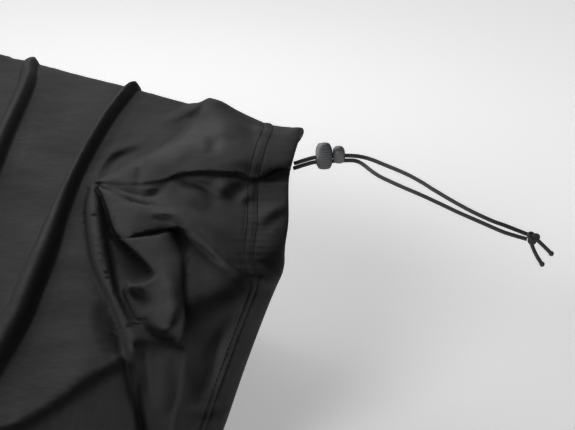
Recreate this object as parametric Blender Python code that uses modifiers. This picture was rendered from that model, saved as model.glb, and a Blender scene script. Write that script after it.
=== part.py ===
"""Fitted stretch dust cover for a long keyboard instrument, with one rear corner pulled back.

The cover is one sheet: a top panel, skirts that hang over the edges, and a hem turned over as the
drawcord's casing. At the rear right corner the hem is drawn up and back, so the cloth gathers there in
a flap, a tubular fold, a leaf and a shoulder. The drawcord's two ends leave the casing, run through a
cord lock, end in one knot and hang free below it. The cover is hollow and stands as it is drawn over
the instrument. The origin is the middle of the top panel's underside, X runs along the instrument, the
player sits at -Y, and +Z is up. Tables are in millimetres, and Blender's units are metres.
"""

import math

import bmesh
import bpy
import numpy as np
from mathutils import Matrix, Vector, geometry, kdtree

MM = 0.001

# Driving sizes of the draped form, in mm
LENGTH = 1030.0
DEPTH = 450.0
HEIGHT = 125.0
EDGE_RADIUS = 7.0
CORNER_RADIUS = 20.0
THICKNESS = 1.5
CASING_THICKNESS = 2.4
CASING_WIDTH = 20.0
HEM_TUCK = 7.0
TUCK_HEIGHT = 55.0
GATHER_DEPTH = 2.5
GATHERS_PER_CORNER = 2
CORNER_SPOKES = 16
CORNER_ROWS = (45.0, 75.0, 100.0, 122.0)

# Spacing of the sheet's points, in mm: the folds, the creases in them, the slack ridges, and the rest
FOLD_STEP = 9.0
CREASE_STEP = 7.0
RIDGE_STEP = 13.0
PLAIN_STEP = 46.0
# Creases softer than this, or nearer the rear edge than this, take no points of their own
CREASE_SOFTEST = 7.0
CREASE_CLEAR = 4.0

# Drawcord, knot and cord lock, in mm
CORD_DIAMETER = 2.3
CORD_STEP = 5.0
KNOT_AT = (583.1, 202.9, -16.5)
KNOT_SCALE = 0.9
KNOT_VOXEL = 0.75
LOCK_AT = (452.1, 188.2, 7.0)
LOCK_TURN = math.radians(40.8)
LOCK_BODY = (9.5, 11.0, 15.0)
LOCK_BUTTON = (6.5, 8.0, 8.6)
LOCK_BUTTON_RISE = 0.4
LOCK_GAP = 0.3
SLOT_WIDTH = 3.3
SLOT_HEIGHT = 6.3
SLOT_DROP = 1.85

# The folds are laid out as they are seen from the front right: across to the right and up, in mm from
# the rear right corner of the top, on a plane square to this sight line. A lift stands toward the eye.
SIGHT_TURN = math.radians(34.8)
SIGHT_RISE = math.radians(22.5)
ACROSS = np.array((math.cos(SIGHT_TURN), math.sin(SIGHT_TURN), 0.0))
TOWARD = np.array(
    (
        math.sin(SIGHT_TURN) * math.cos(SIGHT_RISE),
        -math.cos(SIGHT_TURN) * math.cos(SIGHT_RISE),
        math.sin(SIGHT_RISE),
    )
)
UPWARD = np.cross(TOWARD, ACROSS)

# Each fold is an outline (across, up, lift, width of its rounded edge) and crown points (across, up, lift)
SLACK_OUTLINE = (
    (-199, -17.5, 1, 6),
    (-187, -59, 1, 6),
    (-175, -89.5, 1, 6),
    (-169, -162, 1, 6),
    (-75, -162, 3, 6),
    (-75, -17.5, 2, 6),
    (-142, 5, 2, 6),
)
SLACK_CROWN = (
    (-143, -100.5, 2),
    (-129, -85, 11),
    (-133, -117.5, 11),
    (-142, -125.5, 2),
    (-144, -73, 5),
    (-114, -89.5, 5),
    (-121, -109, 3),
    (-132, -68.5, 9),
    (-103, -64, 4),
)
LEAF_OUTLINE = (
    (-185, -39.5, 20, 2),
    (-178, -47, 23, 2),
    (-171, -52.5, 24, 2),
    (-166, -57.5, 23, 2),
    (-171, -62, 18, 2),
    (-181, -62.5, 13, 2),
    (-181, -70.5, 7, 4),
    (-171, -88, 4, 5),
    (-157, -94.5, 6, 5),
    (-149, -75.5, 16, 4),
    (-149, -55, 14, 5),
    (-152, -34.5, 5, 6),
    (-166, -35.5, 12, 4),
    (-176, -38.5, 16, 3),
)
LEAF_CROWN = ((-162, -49.5, 24), (-159, -67.5, 26), (-156, -87, 16), (-172, -70.5, 10), (-175, -43, 22))
SHOULDER_OUTLINE = (
    (-199, -12, 12, 2),
    (-189, -32, 22, 2),
    (-185, -39.5, 23, 2),
    (-176, -39, 19, 3),
    (-166, -35.5, 16, 3),
    (-153, -33.5, 15, 2.5),
    (-144, -42.5, 17, 2.5),
    (-129, -54, 12, 5),
    (-121, -67.5, 8, 18),
    (-92, -79.5, 4, 16),
    (-75, -62, 3, 8),
    (-75, -0.5, 2, 8),
    (-142, 10.5, 2, 8),
    (-186, -2, 3, 6),
)
SHOULDER_CROWN = (
    (-183, -18, 20),
    (-162, -22, 26),
    (-149, -30, 28),
    (-139, -39.5, 25),
    (-125, -48, 17),
    (-178, -13, 8),
    (-156, -12, 10),
    (-128, -20, 9),
    (-103, -34, 6),
    (-175, -29.5, 24),
    (-104, -64, 4),
)
TUBE_OUTLINE = (
    (-201, -7.5, 8, 3),
    (-206, -20, 7, 5),
    (-204, -37, 7, 5),
    (-198, -63, 7, 5),
    (-186, -90.5, 7, 5),
    (-176, -120, 9, 5),
    (-171, -156, 9, 5),
    (-161, -156, 4, 4),
    (-152, -120, 7, 4),
    (-149, -100.5, 9, 4),
    (-157, -94.5, 10, 5),
    (-171, -89.5, 8, 5),
    (-181, -77, 9, 3),
    (-186, -64, 13, 2),
    (-191, -39.5, 15, 2),
    (-198, -14.5, 11, 2),
)
TUBE_CROWN = ((-200, -24, 20), (-197, -48, 23), (-189, -73, 21), (-174, -99.5, 19), (-162, -128.5, 15))
TAB_OUTLINE = (
    (-107, -4, 9, 2),
    (-104, -8.5, 8, 2),
    (-92, -8.5, 6, 2),
    (-79, -8.5, 6, 2),
    (-79, 5, 6, 2),
    (-103, 5, 10, 2),
)
FLAP_OUTLINE = (
    (-200, -9.5, 11, 2),
    (-188, -1, 12, 2),
    (-174, 7, 12, 2),
    (-156, 16.5, 10, 2),
    (-147, 26.5, 8, 2),
    (-139, 35.5, 6, 2),
    (-135, 45, 5, 2),
    (-75, 45, 3, 4),
    (-78, -2, 6, 2),
    (-95, 1, 11, 2),
    (-101, 0, 14, 2),
    (-107, -5, 18, 2),
    (-114, -6, 20, 2),
    (-128, -3, 22, 2),
    (-152, -3.5, 21, 2),
    (-166, -8.5, 18, 2),
    (-183, -9.5, 14, 2),
)
FLAP_CROWN = (
    (-169, 6, 18),
    (-152, 7, 26),
    (-128, 7.5, 28),
    (-110, 4.5, 23),
    (-94, 6, 12),
    (-125, 21.5, 11),
    (-103, 21.5, 7),
    (-147, 17, 15),
)
FOLDS = (
    (SLACK_OUTLINE, SLACK_CROWN),
    (LEAF_OUTLINE, LEAF_CROWN),
    (SHOULDER_OUTLINE, SHOULDER_CROWN),
    (TUBE_OUTLINE, TUBE_CROWN),
    (TAB_OUTLINE, ()),
    (FLAP_OUTLINE, FLAP_CROWN),
)
FOLD_EDGE_MIN = 4.0
PLATE_SLACK = 20.0
FOLD_ZONE = (-232.0, -342.0, 130.0, 30.0)
REAR_FADE = (1.0, 16.0)
# The sheet's inner side lies behind its folds as they are seen, and under its outer side elsewhere
LEAN_BLEND = 10.0
FACING_FADE = 0.2
THINNEST_SHARE = 0.38

# Slack ridges of the top panel: flat cut x, y, height, width on the left of the run, width on its right
RIDGES = (
    (
        (-216, 6, 2, 12, 9),
        (-211, -20, 5, 14, 9),
        (-197, -58, 10, 17, 10),
        (-181, -95, 13, 18, 11),
        (-149, -169, 15, 19, 11),
        (-75, -334, 16, 22, 12),
        (-38, -425, 9, 22, 12),
        (-25, -455, 4, 22, 12),
    ),
    (
        (-286, 6, 1.5, 14, 8),
        (-281, -17, 5, 16, 8),
        (-262, -65, 11, 18, 8),
        (-205, -200, 13, 20, 9),
        (-150, -330, 12, 20, 10),
        (-112, -430, 7, 20, 10),
        (-105, -455, 3, 20, 10),
    ),
)
# Height of the flap's back where it lies along the rear edge: flat cut x, height
REAR_LIFT = ((-178, 0.0), (-168, 3.5), (-158, 6.2), (-150, 4.8), (-139, 2.6), (-122, 1.0), (-112, 1.0), (-102, 3.4))
REAR_LIFT_REACH = 22.0

# Hem of the pulled-back corner on the flat cut, from the end skirt's foot to the rear skirt's foot: x, y
PULLED_HEM = (
    (121, -264),
    (117, -250),
    (73, -223),
    (36, -197),
    (0, -165),
    (-32, -116),
    (-57, -80),
    (-80, -43),
    (-104, 3),
    (-160, 85),
    (-182, 112),
    (-200, 122),
)

# Routes of the two strands, from the casing through the lock to the knot: x, y, z in mm
UPPER_STRAND = (
    (441.7, 174.2, 4.8),
    (446.8, 183.6, 6.0),
    (449.5, 185.9, 6.3),
    (455.1, 190.8, 6.6),
    (461.2, 196.0, 6.7),
    (467.6, 199.3, 6.7),
    (475.4, 200.2, 6.4),
    (484.9, 199.6, 5.6),
    (494.4, 199.1, 4.7),
    (503.7, 198.4, 3.5),
    (513.3, 196.6, 2.2),
    (521.5, 194.8, 0.8),
    (533.5, 193.2, -1.6),
    (543.3, 192.0, -3.4),
    (552.5, 191.6, -5.2),
    (562.5, 193.4, -8.0),
    (568.5, 196.8, -10.4),
    (573.0, 200.2, -12.9),
    (579.4, 203.5, -15.5),
)
LOWER_STRAND = (
    (441.7, 173.5, 2.1),
    (446.8, 183.6, 3.2),
    (449.5, 185.9, 3.5),
    (455.1, 190.8, 3.7),
    (461.2, 196.0, 3.8),
    (466.5, 198.3, 4.0),
    (473.0, 196.2, 4.1),
    (481.0, 191.8, 4.0),
    (489.5, 188.2, 3.6),
    (499.3, 186.3, 2.9),
    (508.8, 185.2, 2.0),
    (518.5, 184.9, 0.8),
    (526.7, 186.2, -1.4),
    (535.0, 187.3, -3.6),
    (543.9, 188.3, -5.9),
    (553.1, 189.5, -8.0),
    (563.6, 191.4, -10.8),
    (569.3, 193.0, -12.6),
    (574.0, 195.6, -14.3),
    (580.6, 200.4, -16.9),
)
UPPER_TAIL = ((586.2, 203.2, -17.4), (591.6, 203.0, -20.6), (596.5, 202.7, -23.5))
LOWER_TAIL = ((583.9, 200.9, -20.3), (587.9, 199.9, -25.4), (592.3, 200.0, -30.5))

# Colour, roughness and metallic value of each finish
CLOTH = ((0.024, 0.025, 0.027), 0.75, 0.0)
CORD = ((0.020, 0.021, 0.022), 0.65, 0.0)
MOULDED = ((0.075, 0.078, 0.084), 0.42, 0.0)


def clear_scene():
    """Remove every object of the open file."""
    for item in list(bpy.data.objects):
        bpy.data.objects.remove(item, do_unlink=True)


def collection(name):
    """Return a new collection linked to the scene."""
    group = bpy.data.collections.new(name)
    bpy.context.scene.collection.children.link(group)
    return group


def finish(name, values):
    """Return a Principled material with the given colour, roughness and metallic value."""
    colour, roughness, metallic = values
    material = bpy.data.materials.new(name)
    material.use_nodes = True
    shader = material.node_tree.nodes["Principled BSDF"]
    shader.inputs["Base Color"].default_value = (*colour, 1.0)
    shader.inputs["Roughness"].default_value = roughness
    shader.inputs["Metallic"].default_value = metallic
    return material


def smooth_line(rows, closed=False, steps=5):
    """Return a Catmull-Rom line through rows of any width."""
    rows = np.array(rows, float)
    count = len(rows)
    line = []
    for i in range(count if closed else count - 1):
        if closed:
            before, start, end, after = (rows[(i + k) % count] for k in (-1, 0, 1, 2))
        else:
            before, start, end, after = rows[max(i - 1, 0)], rows[i], rows[i + 1], rows[min(i + 2, count - 1)]
        for k in range(steps):
            t = k / steps
            line.append(
                start
                + 0.5 * (end - before) * t
                + 0.5 * (2 * before - 5 * start + 4 * end - after) * t**2
                + 0.5 * (3 * start - before - 3 * end + after) * t**3
            )
    if not closed:
        line.append(rows[-1])
    return np.array(line)


def spaced(line, step, closed=False):
    """Return the line read again at even steps of its length."""
    if closed:
        line = np.vstack((line, line[:1]))
    run = np.concatenate(([0.0], np.cumsum(np.linalg.norm(np.diff(line[:, :2], axis=0), axis=1))))
    count = max(2, round(run[-1] / step))
    marks = np.linspace(0, run[-1], count, endpoint=not closed)
    return np.column_stack([np.interp(marks, run, column) for column in line.T])


def inside(points, ring):
    """Tell which points lie inside a closed ring."""
    start = ring[:, :2]
    end = np.roll(start, -1, axis=0)
    rise = end[:, 1] - start[:, 1]
    rise = np.where(np.abs(rise) < 1e-9, 1e-9, rise)
    crosses = (start[None, :, 1] > points[:, None, 1]) != (end[None, :, 1] > points[:, None, 1])
    where = start[:, 0] + (points[:, None, 1] - start[None, :, 1]) * ((end[:, 0] - start[:, 0]) / rise)
    return (crosses & (points[:, None, 0] < where)).sum(axis=1) % 2 == 1


def near_line(points, line):
    """Return each point's distance and fraction to every stretch of a line, and the stretches."""
    start = line[:-1, :2]
    stretch = line[1:, :2] - start
    away = points[:, None] - start[None]
    share = (away * stretch).sum(axis=2) / np.maximum((stretch**2).sum(axis=1), 1e-9)
    share = np.clip(share, 0, 1)
    gap = np.linalg.norm(away - stretch * share[..., None], axis=2)
    return gap, share, stretch, away


def plate(rows):
    """Return the height function of a thin plate bent through rows of (across, up, height)."""
    rows = np.array(rows, float)
    spots = rows[:, :2]
    count = len(spots)

    def bend(points):
        square = ((points[:, None] - spots[None]) ** 2).sum(axis=2)
        return 0.5 * square * np.log(np.maximum(square, 1e-9))

    system = np.zeros((count + 3, count + 3))
    system[:count, :count] = bend(spots) + np.eye(count) * PLATE_SLACK
    system[:count, count] = 1
    system[:count, count + 1 :] = spots
    system[count:, :count] = system[:count, count:].T
    weights = np.linalg.solve(system, np.append(rows[:, 2], (0, 0, 0)))
    return lambda points: bend(points) @ weights[:count] + weights[count] + points @ weights[count + 1 :]


def lay_fold(lift, away, points, outline, crown):
    """Lay one fold over the lift so far, its edge rounded down to what it lies on; update the distance off it."""
    line = smooth_line(outline, closed=True)
    line = np.vstack((line, line[:1]))
    gap, share, _, _ = near_line(points, line)
    width = line[:-1, 3] + np.diff(line[:, 3]) * share
    on_fold = inside(points, line[:-1])
    reach = np.where(on_fold, (gap / np.maximum(width, FOLD_EDGE_MIN)).min(axis=1), 0)
    cover = np.sqrt(1 - (1 - np.clip(reach, 0, 1)) ** 2)
    height = plate([row[:3] for row in outline] + list(crown))
    away = np.minimum(away, np.where(on_fold, 0, gap.min(axis=1)))
    return lift + (height(points) - lift) * cover, away


def fold_lift(points):
    """Return how far the folds stand toward the eye at points of the sight plane, and the distance off them."""
    lift = np.zeros(len(points))
    away = np.full(len(points), np.inf)
    for outline, crown in FOLDS:
        lift, away = lay_fold(lift, away, points, outline, crown)
    return lift, away


def ridge_rise(points, rows):
    """Return the rise of one slack ridge, gentle on its left and steep on its right."""
    line = smooth_line(rows)
    gap, share, stretch, away = near_line(points, line)
    nearest = gap.argmin(axis=1)
    pick = np.arange(len(points))
    share = share[pick, nearest]
    height, left, right = (line[nearest, k] + (line[nearest + 1, k] - line[nearest, k]) * share for k in (2, 3, 4))
    side = stretch[nearest, 0] * away[pick, nearest, 1] - stretch[nearest, 1] * away[pick, nearest, 0]
    # The run goes toward the player, so its left hand is the instrument's right
    width = np.where(side > 0, right, left)
    return height * np.clip(1 - (gap[pick, nearest] / width) ** 2, 0, 1) ** 2


def drape(cut):
    """Return the points and outward normals of the plain draped form for points of the flat cut."""
    low = np.array((-LENGTH + CORNER_RADIUS, -DEPTH + CORNER_RADIUS))
    core = np.clip(cut, low, np.array((-CORNER_RADIUS, -CORNER_RADIUS)))
    away = cut - core
    run = np.linalg.norm(away, axis=1)
    heading = away / np.maximum(run, 1e-9)[:, None]
    flat = CORNER_RADIUS - EDGE_RADIUS
    bend = np.clip((run - flat) / EDGE_RADIUS, 0, math.pi / 2)
    past = np.maximum(run - flat - EDGE_RADIUS * math.pi / 2, 0)
    drop = EDGE_RADIUS * (1 - np.cos(bend)) + past
    foot = np.clip((drop - HEIGHT + TUCK_HEIGHT) / TUCK_HEIGHT, 0, 1)
    turn = np.arctan2(heading[:, 1], heading[:, 0])
    in_corner = np.clip(4 * np.abs(heading[:, 0] * heading[:, 1]), 0, 1)
    gather = GATHER_DEPTH * foot * in_corner * np.cos(4 * GATHERS_PER_CORNER * turn)
    out = np.minimum(run, flat) + EDGE_RADIUS * np.sin(bend) - HEM_TUCK * foot**2 + gather
    place = np.column_stack((core + heading * out[:, None], -drop))
    normal = np.column_stack((heading * np.sin(bend)[:, None], np.cos(bend)))
    return place, normal


def unfold(across, up):
    """Return the flat cut's point that the plain draped form shows at one place of the sight plane."""
    start = ACROSS * across + UPWARD * up
    top = start - TOWARD * (start[2] / TOWARD[2])
    if top[0] <= -EDGE_RADIUS:
        return top[0], top[1]
    end = start - TOWARD * (start[0] / TOWARD[0])
    if end[2] < -EDGE_RADIUS:
        return -end[2] - EDGE_RADIUS * (2 - math.pi / 2), end[1]
    away = np.array((start[0] + EDGE_RADIUS, start[2] + EDGE_RADIUS))
    sight = np.array((TOWARD[0], TOWARD[2]))
    half = sight @ away
    reach = math.sqrt(max(half**2 - (sight @ sight) * (away @ away - EDGE_RADIUS**2), 0)) - half
    hit = start + TOWARD * reach / (sight @ sight)
    bend = math.atan2(hit[0] + EDGE_RADIUS, hit[2] + EDGE_RADIUS)
    return EDGE_RADIUS * (bend - 1), hit[1]


def place_cloth(cut):
    """Return the draped sheet's outer points, and the way through the sheet, for points of the flat cut."""
    place, normal = drape(cut)
    sight = np.column_stack((place @ ACROSS, place @ UPWARD))
    fade = np.clip((-cut[:, 1] - REAR_FADE[0]) / REAR_FADE[1], 0, 1)
    fade = fade * fade * (3 - 2 * fade)
    facing = normal @ TOWARD
    lift, away = fold_lift(sight)
    lift = np.where(facing > 0, lift * fade, 0)
    rise = sum(ridge_rise(cut, rows) for rows in RIDGES)
    rear = np.array(REAR_LIFT)
    near = np.clip(1 - np.abs(cut[:, 1]) / REAR_LIFT_REACH, 0, 1)
    back = np.interp(cut[:, 0], rear[:, 0], rear[:, 1], left=0) * near * near * (3 - 2 * near)
    lean = np.clip(1 - away / LEAN_BLEND, 0, 1) * np.clip(facing / FACING_FADE, 0, 1) * fade
    through = normal * (1 - lean)[:, None] + TOWARD * lean[:, None]
    through /= np.linalg.norm(through, axis=1)[:, None]
    return place + normal * np.maximum(rise, back)[:, None] + TOWARD * lift[:, None], through


def skirt_reach():
    """Return how far the flat cut runs from the core rectangle to the skirt's foot."""
    return CORNER_RADIUS - EDGE_RADIUS + EDGE_RADIUS * math.pi / 2 + HEIGHT - EDGE_RADIUS


def cut_outline():
    """Return the flat cut's outline: three rounded corners and the pulled-back hem."""
    reach = skirt_reach()
    near_x, near_y = -CORNER_RADIUS, -CORNER_RADIUS
    far_x, far_y = -LENGTH + CORNER_RADIUS, -DEPTH + CORNER_RADIUS
    ring = [tuple(row) for row in smooth_line(PULLED_HEM)]
    for centre_x, centre_y, first in ((far_x, near_y, 90), (far_x, far_y, 180), (near_x, far_y, 270)):
        for degrees in range(first, first + 91, 6):
            turn = math.radians(degrees)
            ring.append((centre_x + reach * math.cos(turn), centre_y + reach * math.sin(turn)))
    fine = spaced(np.array(ring), FOLD_STEP, closed=True)
    keep = []
    for i, row in enumerate(fine):
        in_folds = row[0] > FOLD_ZONE[0] and row[1] > FOLD_ZONE[1]
        if in_folds or i % 3 == 0:
            keep.append(row)
    return np.array(keep)


def triangle_grid(box, step):
    """Return the points of an even triangular grid over a box."""
    low_x, low_y, high_x, high_y = box
    points = []
    for j, y in enumerate(np.arange(low_y, high_y, step * math.sqrt(0.75))):
        for x in np.arange(low_x + (step / 2 if j % 2 else 0), high_x, step):
            points.append((x, y))
    return np.array(points)


def crease_points():
    """Return points of the flat cut along each fold's edge and just inside it."""
    found = []
    for outline, _ in FOLDS[1:]:
        line = smooth_line(outline, closed=True)
        ahead = np.roll(line[:, :2], -1, axis=0) - np.roll(line[:, :2], 1, axis=0)
        inward = np.column_stack((-ahead[:, 1], ahead[:, 0])) / np.linalg.norm(ahead, axis=1)[:, None]
        if not inside(line[:1, :2] + inward[:1] * 0.01, line)[0]:
            inward = -inward
        width = np.maximum(line[:, 3], FOLD_EDGE_MIN)
        for share in (0.0, 0.3):
            sight = line[:, :2] + inward * (width * share)[:, None]
            cut = np.array([unfold(*row) for row in sight])
            rows = spaced(np.column_stack((cut, line[:, 3])), CREASE_STEP, closed=True)
            found.extend(row[:2] for row in rows if row[2] < CREASE_SOFTEST and row[1] < -CREASE_CLEAR)
    return np.array(found)


def ridge_points():
    """Return points of the flat cut along the slack ridges' crests, flanks and feet."""
    found = []
    for rows in RIDGES:
        line = smooth_line(rows)
        ahead = np.gradient(line[:, :2], axis=0)
        leftward = np.column_stack((-ahead[:, 1], ahead[:, 0])) / np.linalg.norm(ahead, axis=1)[:, None]
        for share in (-1.0, -0.5, 0.0, 0.5, 1.0):
            width = line[:, 4] if share > 0 else line[:, 3]
            row = line[:, :2] + leftward * (width * share)[:, None]
            found.extend(spaced(row, RIDGE_STEP))
    return np.array(found)


def edge_points():
    """Return points of the flat cut along the bends over the instrument's edges."""
    reach = CORNER_RADIUS - EDGE_RADIUS
    bend = EDGE_RADIUS * math.pi / 2
    found = []
    for run in (reach, reach + bend / 2, reach + bend):
        for x in np.arange(-LENGTH + CORNER_RADIUS, -CORNER_RADIUS, PLAIN_STEP / 2):
            found.append((x, run - CORNER_RADIUS))
            found.append((x, -DEPTH + CORNER_RADIUS - run))
        for y in np.arange(-DEPTH + CORNER_RADIUS, -CORNER_RADIUS, PLAIN_STEP / 2):
            found.append((run - CORNER_RADIUS, y))
            found.append((-LENGTH + CORNER_RADIUS - run, y))
    for centre_x, centre_y, first in (
        (-CORNER_RADIUS, -DEPTH + CORNER_RADIUS, 270),
        (-LENGTH + CORNER_RADIUS, -DEPTH + CORNER_RADIUS, 180),
        (-LENGTH + CORNER_RADIUS, -CORNER_RADIUS, 90),
    ):
        for run in (reach, reach + bend / 2, reach + bend, *CORNER_ROWS):
            for k in range(CORNER_SPOKES + 1):
                turn = math.radians(first + 90 * k / CORNER_SPOKES)
                found.append((centre_x + run * math.cos(turn), centre_y + run * math.sin(turn)))
    return np.array(found)


def cut_mesh():
    """Return the flat cut's points and triangles, dense where the cloth folds."""
    outline = cut_outline()
    taken = [tuple(row) for row in outline]

    def take(candidates, gap):
        tree = kdtree.KDTree(len(taken) + len(candidates))
        for i, (x, y) in enumerate(taken):
            tree.insert((x, y, 0), i)
        tree.balance()
        fresh = []
        for x, y in candidates[inside(candidates, outline)]:
            clear = all((x - u) ** 2 + (y - v) ** 2 > gap * gap for u, v in fresh)
            if clear and tree.find((x, y, 0))[2] > gap:
                fresh.append((float(x), float(y)))
        taken.extend(fresh)

    def beyond(points, box):
        return points[~((points[:, 0] > box[0]) & (points[:, 1] > box[1]))]

    take(crease_points(), CREASE_STEP * 0.45)
    take(ridge_points(), RIDGE_STEP * 0.25)
    take(triangle_grid(FOLD_ZONE, FOLD_STEP), FOLD_STEP * 0.6)
    take(beyond(edge_points(), FOLD_ZONE), 1.0)
    whole = (-LENGTH - HEIGHT, -DEPTH - HEIGHT, HEIGHT, HEIGHT)
    take(beyond(triangle_grid(whole, PLAIN_STEP), FOLD_ZONE), PLAIN_STEP * 0.35)
    ring = list(range(len(outline)))
    points, _, faces, *_ = geometry.delaunay_2d_cdt([Vector(row) for row in taken], [], [ring], 1, 1e-6)
    return np.array([tuple(point) for point in points]), faces


def make_cover(group, corner):
    """The cloth: the flat cut laid in its drape, then extruded through its thickness."""
    cut, faces = cut_mesh()
    place, through = place_cloth(cut)
    outline = cut_outline()
    gap, _, _, _ = near_line(cut, np.vstack((outline, outline[:1])))
    thick = np.where(gap.min(axis=1) < CASING_WIDTH / 2, CASING_THICKNESS, THICKNESS)
    mesh = bpy.data.meshes.new("cover_cloth")
    mesh.from_pydata([tuple(row) for row in place * MM], [], [tuple(face) for face in faces])
    sheet = bmesh.new()
    sheet.from_mesh(mesh)
    sheet.normal_update()
    inward = sheet.verts.layers.float_vector.new("inward")
    for vertex, way, depth in zip(sheet.verts, through, thick):
        way = Vector(way)
        vertex[inward] = way * (-depth * MM / max(vertex.normal.dot(way), THINNEST_SHARE))
    inner = bmesh.ops.extrude_face_region(sheet, geom=sheet.faces[:], use_keep_orig=True)
    for vertex in inner["geom"]:
        if isinstance(vertex, bmesh.types.BMVert):
            vertex.co += vertex[inward]
    sheet.verts.layers.float_vector.remove(inward)
    bmesh.ops.recalc_face_normals(sheet, faces=sheet.faces[:])
    sheet.to_mesh(mesh)
    sheet.free()
    mesh.shade_smooth()
    cover = bpy.data.objects.new("cover_cloth", mesh)
    group.objects.link(cover)
    cover.parent = corner
    mesh.materials.append(finish("cloth", CLOTH))
    return cover


def make_cord(group, root, name, route):
    """A stretch of drawcord: a round tube on a smooth curve through its route's own points."""
    line = smooth_line(route, steps=8)
    run = np.concatenate(([0.0], np.cumsum(np.linalg.norm(np.diff(line, axis=0), axis=1))))
    marks = np.linspace(0, run[-1], max(3, round(run[-1] / CORD_STEP) + 1))
    points = np.column_stack([np.interp(marks, run, column) for column in line.T]) * MM
    curve = bpy.data.curves.new(name, "CURVE")
    curve.dimensions = "3D"
    curve.bevel_depth = CORD_DIAMETER / 2 * MM
    curve.bevel_resolution = 2
    curve.use_fill_caps = True
    spline = curve.splines.new("POLY")
    spline.points.add(len(points) - 1)
    for spot, point in zip(spline.points, points):
        spot.co = (*point, 1.0)
    cord = bpy.data.objects.new(name, curve)
    group.objects.link(cord)
    cord.parent = root
    curve.materials.append(finish(name, CORD))
    return cord


def make_knot(group, root):
    """The overhand knot: a cord run round a trefoil, drawn tight into one body."""
    curve = bpy.data.curves.new("cord_knot", "CURVE")
    curve.dimensions = "3D"
    curve.bevel_depth = CORD_DIAMETER / 2 * MM
    curve.bevel_resolution = 2
    spline = curve.splines.new("POLY")
    turns = np.linspace(0, 2 * math.pi, 30, endpoint=False)
    spline.points.add(len(turns) - 1)
    for spot, turn in zip(spline.points, turns):
        across = (math.sin(turn) + 2 * math.sin(2 * turn)) * KNOT_SCALE
        along = (math.cos(turn) - 2 * math.cos(2 * turn)) * KNOT_SCALE
        spot.co = (across * MM, along * MM, -math.sin(3 * turn) * KNOT_SCALE * MM, 1.0)
    spline.use_cyclic_u = True
    tube = bpy.data.objects.new("knot_tube", curve)
    group.objects.link(tube)
    bpy.context.view_layer.update()
    evaluated = tube.evaluated_get(bpy.context.evaluated_depsgraph_get())
    mesh = bpy.data.meshes.new_from_object(evaluated)
    bpy.data.objects.remove(tube, do_unlink=True)
    knot = bpy.data.objects.new("cord_knot", mesh)
    group.objects.link(knot)
    knot.parent = root
    knot.location = Vector(KNOT_AT) * MM
    knot.rotation_euler = (math.radians(70), math.radians(20), math.radians(35))
    fuse = knot.modifiers.new("drawn_tight", "REMESH")
    fuse.mode = "VOXEL"
    fuse.voxel_size = KNOT_VOXEL * MM
    fuse.use_smooth_shade = True
    mesh.materials.clear()
    mesh.materials.append(finish("knot", CORD))
    return knot


def rounded_block(group, root, name, size, place, rounding, segments, material):
    """A block with every edge rounded, turned to the cord's heading."""
    mesh = bpy.data.meshes.new(name)
    shape = bmesh.new()
    bmesh.ops.create_cube(shape, size=1.0, matrix=Matrix.Diagonal((*(Vector(size) * MM), 1.0)))
    bmesh.ops.bevel(
        shape,
        geom=shape.edges[:],
        offset=rounding * MM,
        segments=segments,
        profile=0.5,
        affect="EDGES",
        clamp_overlap=True,
    )
    shape.to_mesh(mesh)
    shape.free()
    mesh.shade_smooth()
    block = bpy.data.objects.new(name, mesh)
    group.objects.link(block)
    block.parent = root
    block.location = Vector(place) * MM
    block.rotation_euler = (0, 0, LOCK_TURN)
    if material:
        mesh.materials.append(material)
    return block


def make_lock(group, cutters, root):
    """The cord lock: a drum and a button in line on the cord, with one slot through both."""
    heading = Vector((math.cos(LOCK_TURN), math.sin(LOCK_TURN), 0))
    centre = Vector(LOCK_AT)
    drum = rounded_block(group, root, "lock_body", LOCK_BODY, centre, 3.4, 3, finish("lock_body", MOULDED))
    button_at = centre + heading * ((LOCK_BODY[0] + LOCK_BUTTON[0]) / 2 + LOCK_GAP)
    button_at.z += LOCK_BUTTON_RISE
    button = rounded_block(
        group, root, "lock_button", LOCK_BUTTON, button_at, 2.2, 3, finish("lock_button", MOULDED)
    )
    slot_at = centre - Vector((0, 0, SLOT_DROP))
    slot_size = (LOCK_BODY[0] * 4, SLOT_WIDTH, SLOT_HEIGHT)
    slot = rounded_block(cutters, root, "lock_slot", slot_size, slot_at, 1.2, 2, None)
    slot.hide_render = True
    slot.display_type = "WIRE"
    for block in (drum, button):
        hole = block.modifiers.new("slot", "BOOLEAN")
        hole.operation = "DIFFERENCE"
        hole.solver = "EXACT"
        hole.object = slot


def main():
    """Build every piece."""
    clear_scene()
    group = collection("keyboard_dust_cover")
    cutters = collection("cutters")
    root = bpy.data.objects.new("cover_root", None)
    group.objects.link(root)
    corner = bpy.data.objects.new("rear_right_corner", None)
    group.objects.link(corner)
    corner.parent = root
    corner.location = Vector((LENGTH / 2, DEPTH / 2, THICKNESS)) * MM
    make_cover(group, corner)
    make_cord(group, root, "drawcord_upper", UPPER_STRAND)
    make_cord(group, root, "drawcord_lower", LOWER_STRAND)
    make_cord(group, root, "tail_upper", UPPER_TAIL)
    make_cord(group, root, "tail_lower", LOWER_TAIL)
    make_knot(group, root)
    make_lock(group, cutters, root)


main()
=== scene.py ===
"""Looks of the fitted keyboard dust cover with one rear corner drawn back.

The cloth is laid again from its own tables at a fine spacing, with the creases, the rolled casing and
its two rows of stitches. The drawcord, its knot, its heat-cut tails and the ribbed cord lock follow the
solids. Tables are in millimetres, and Blender's units are metres.
"""

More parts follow.
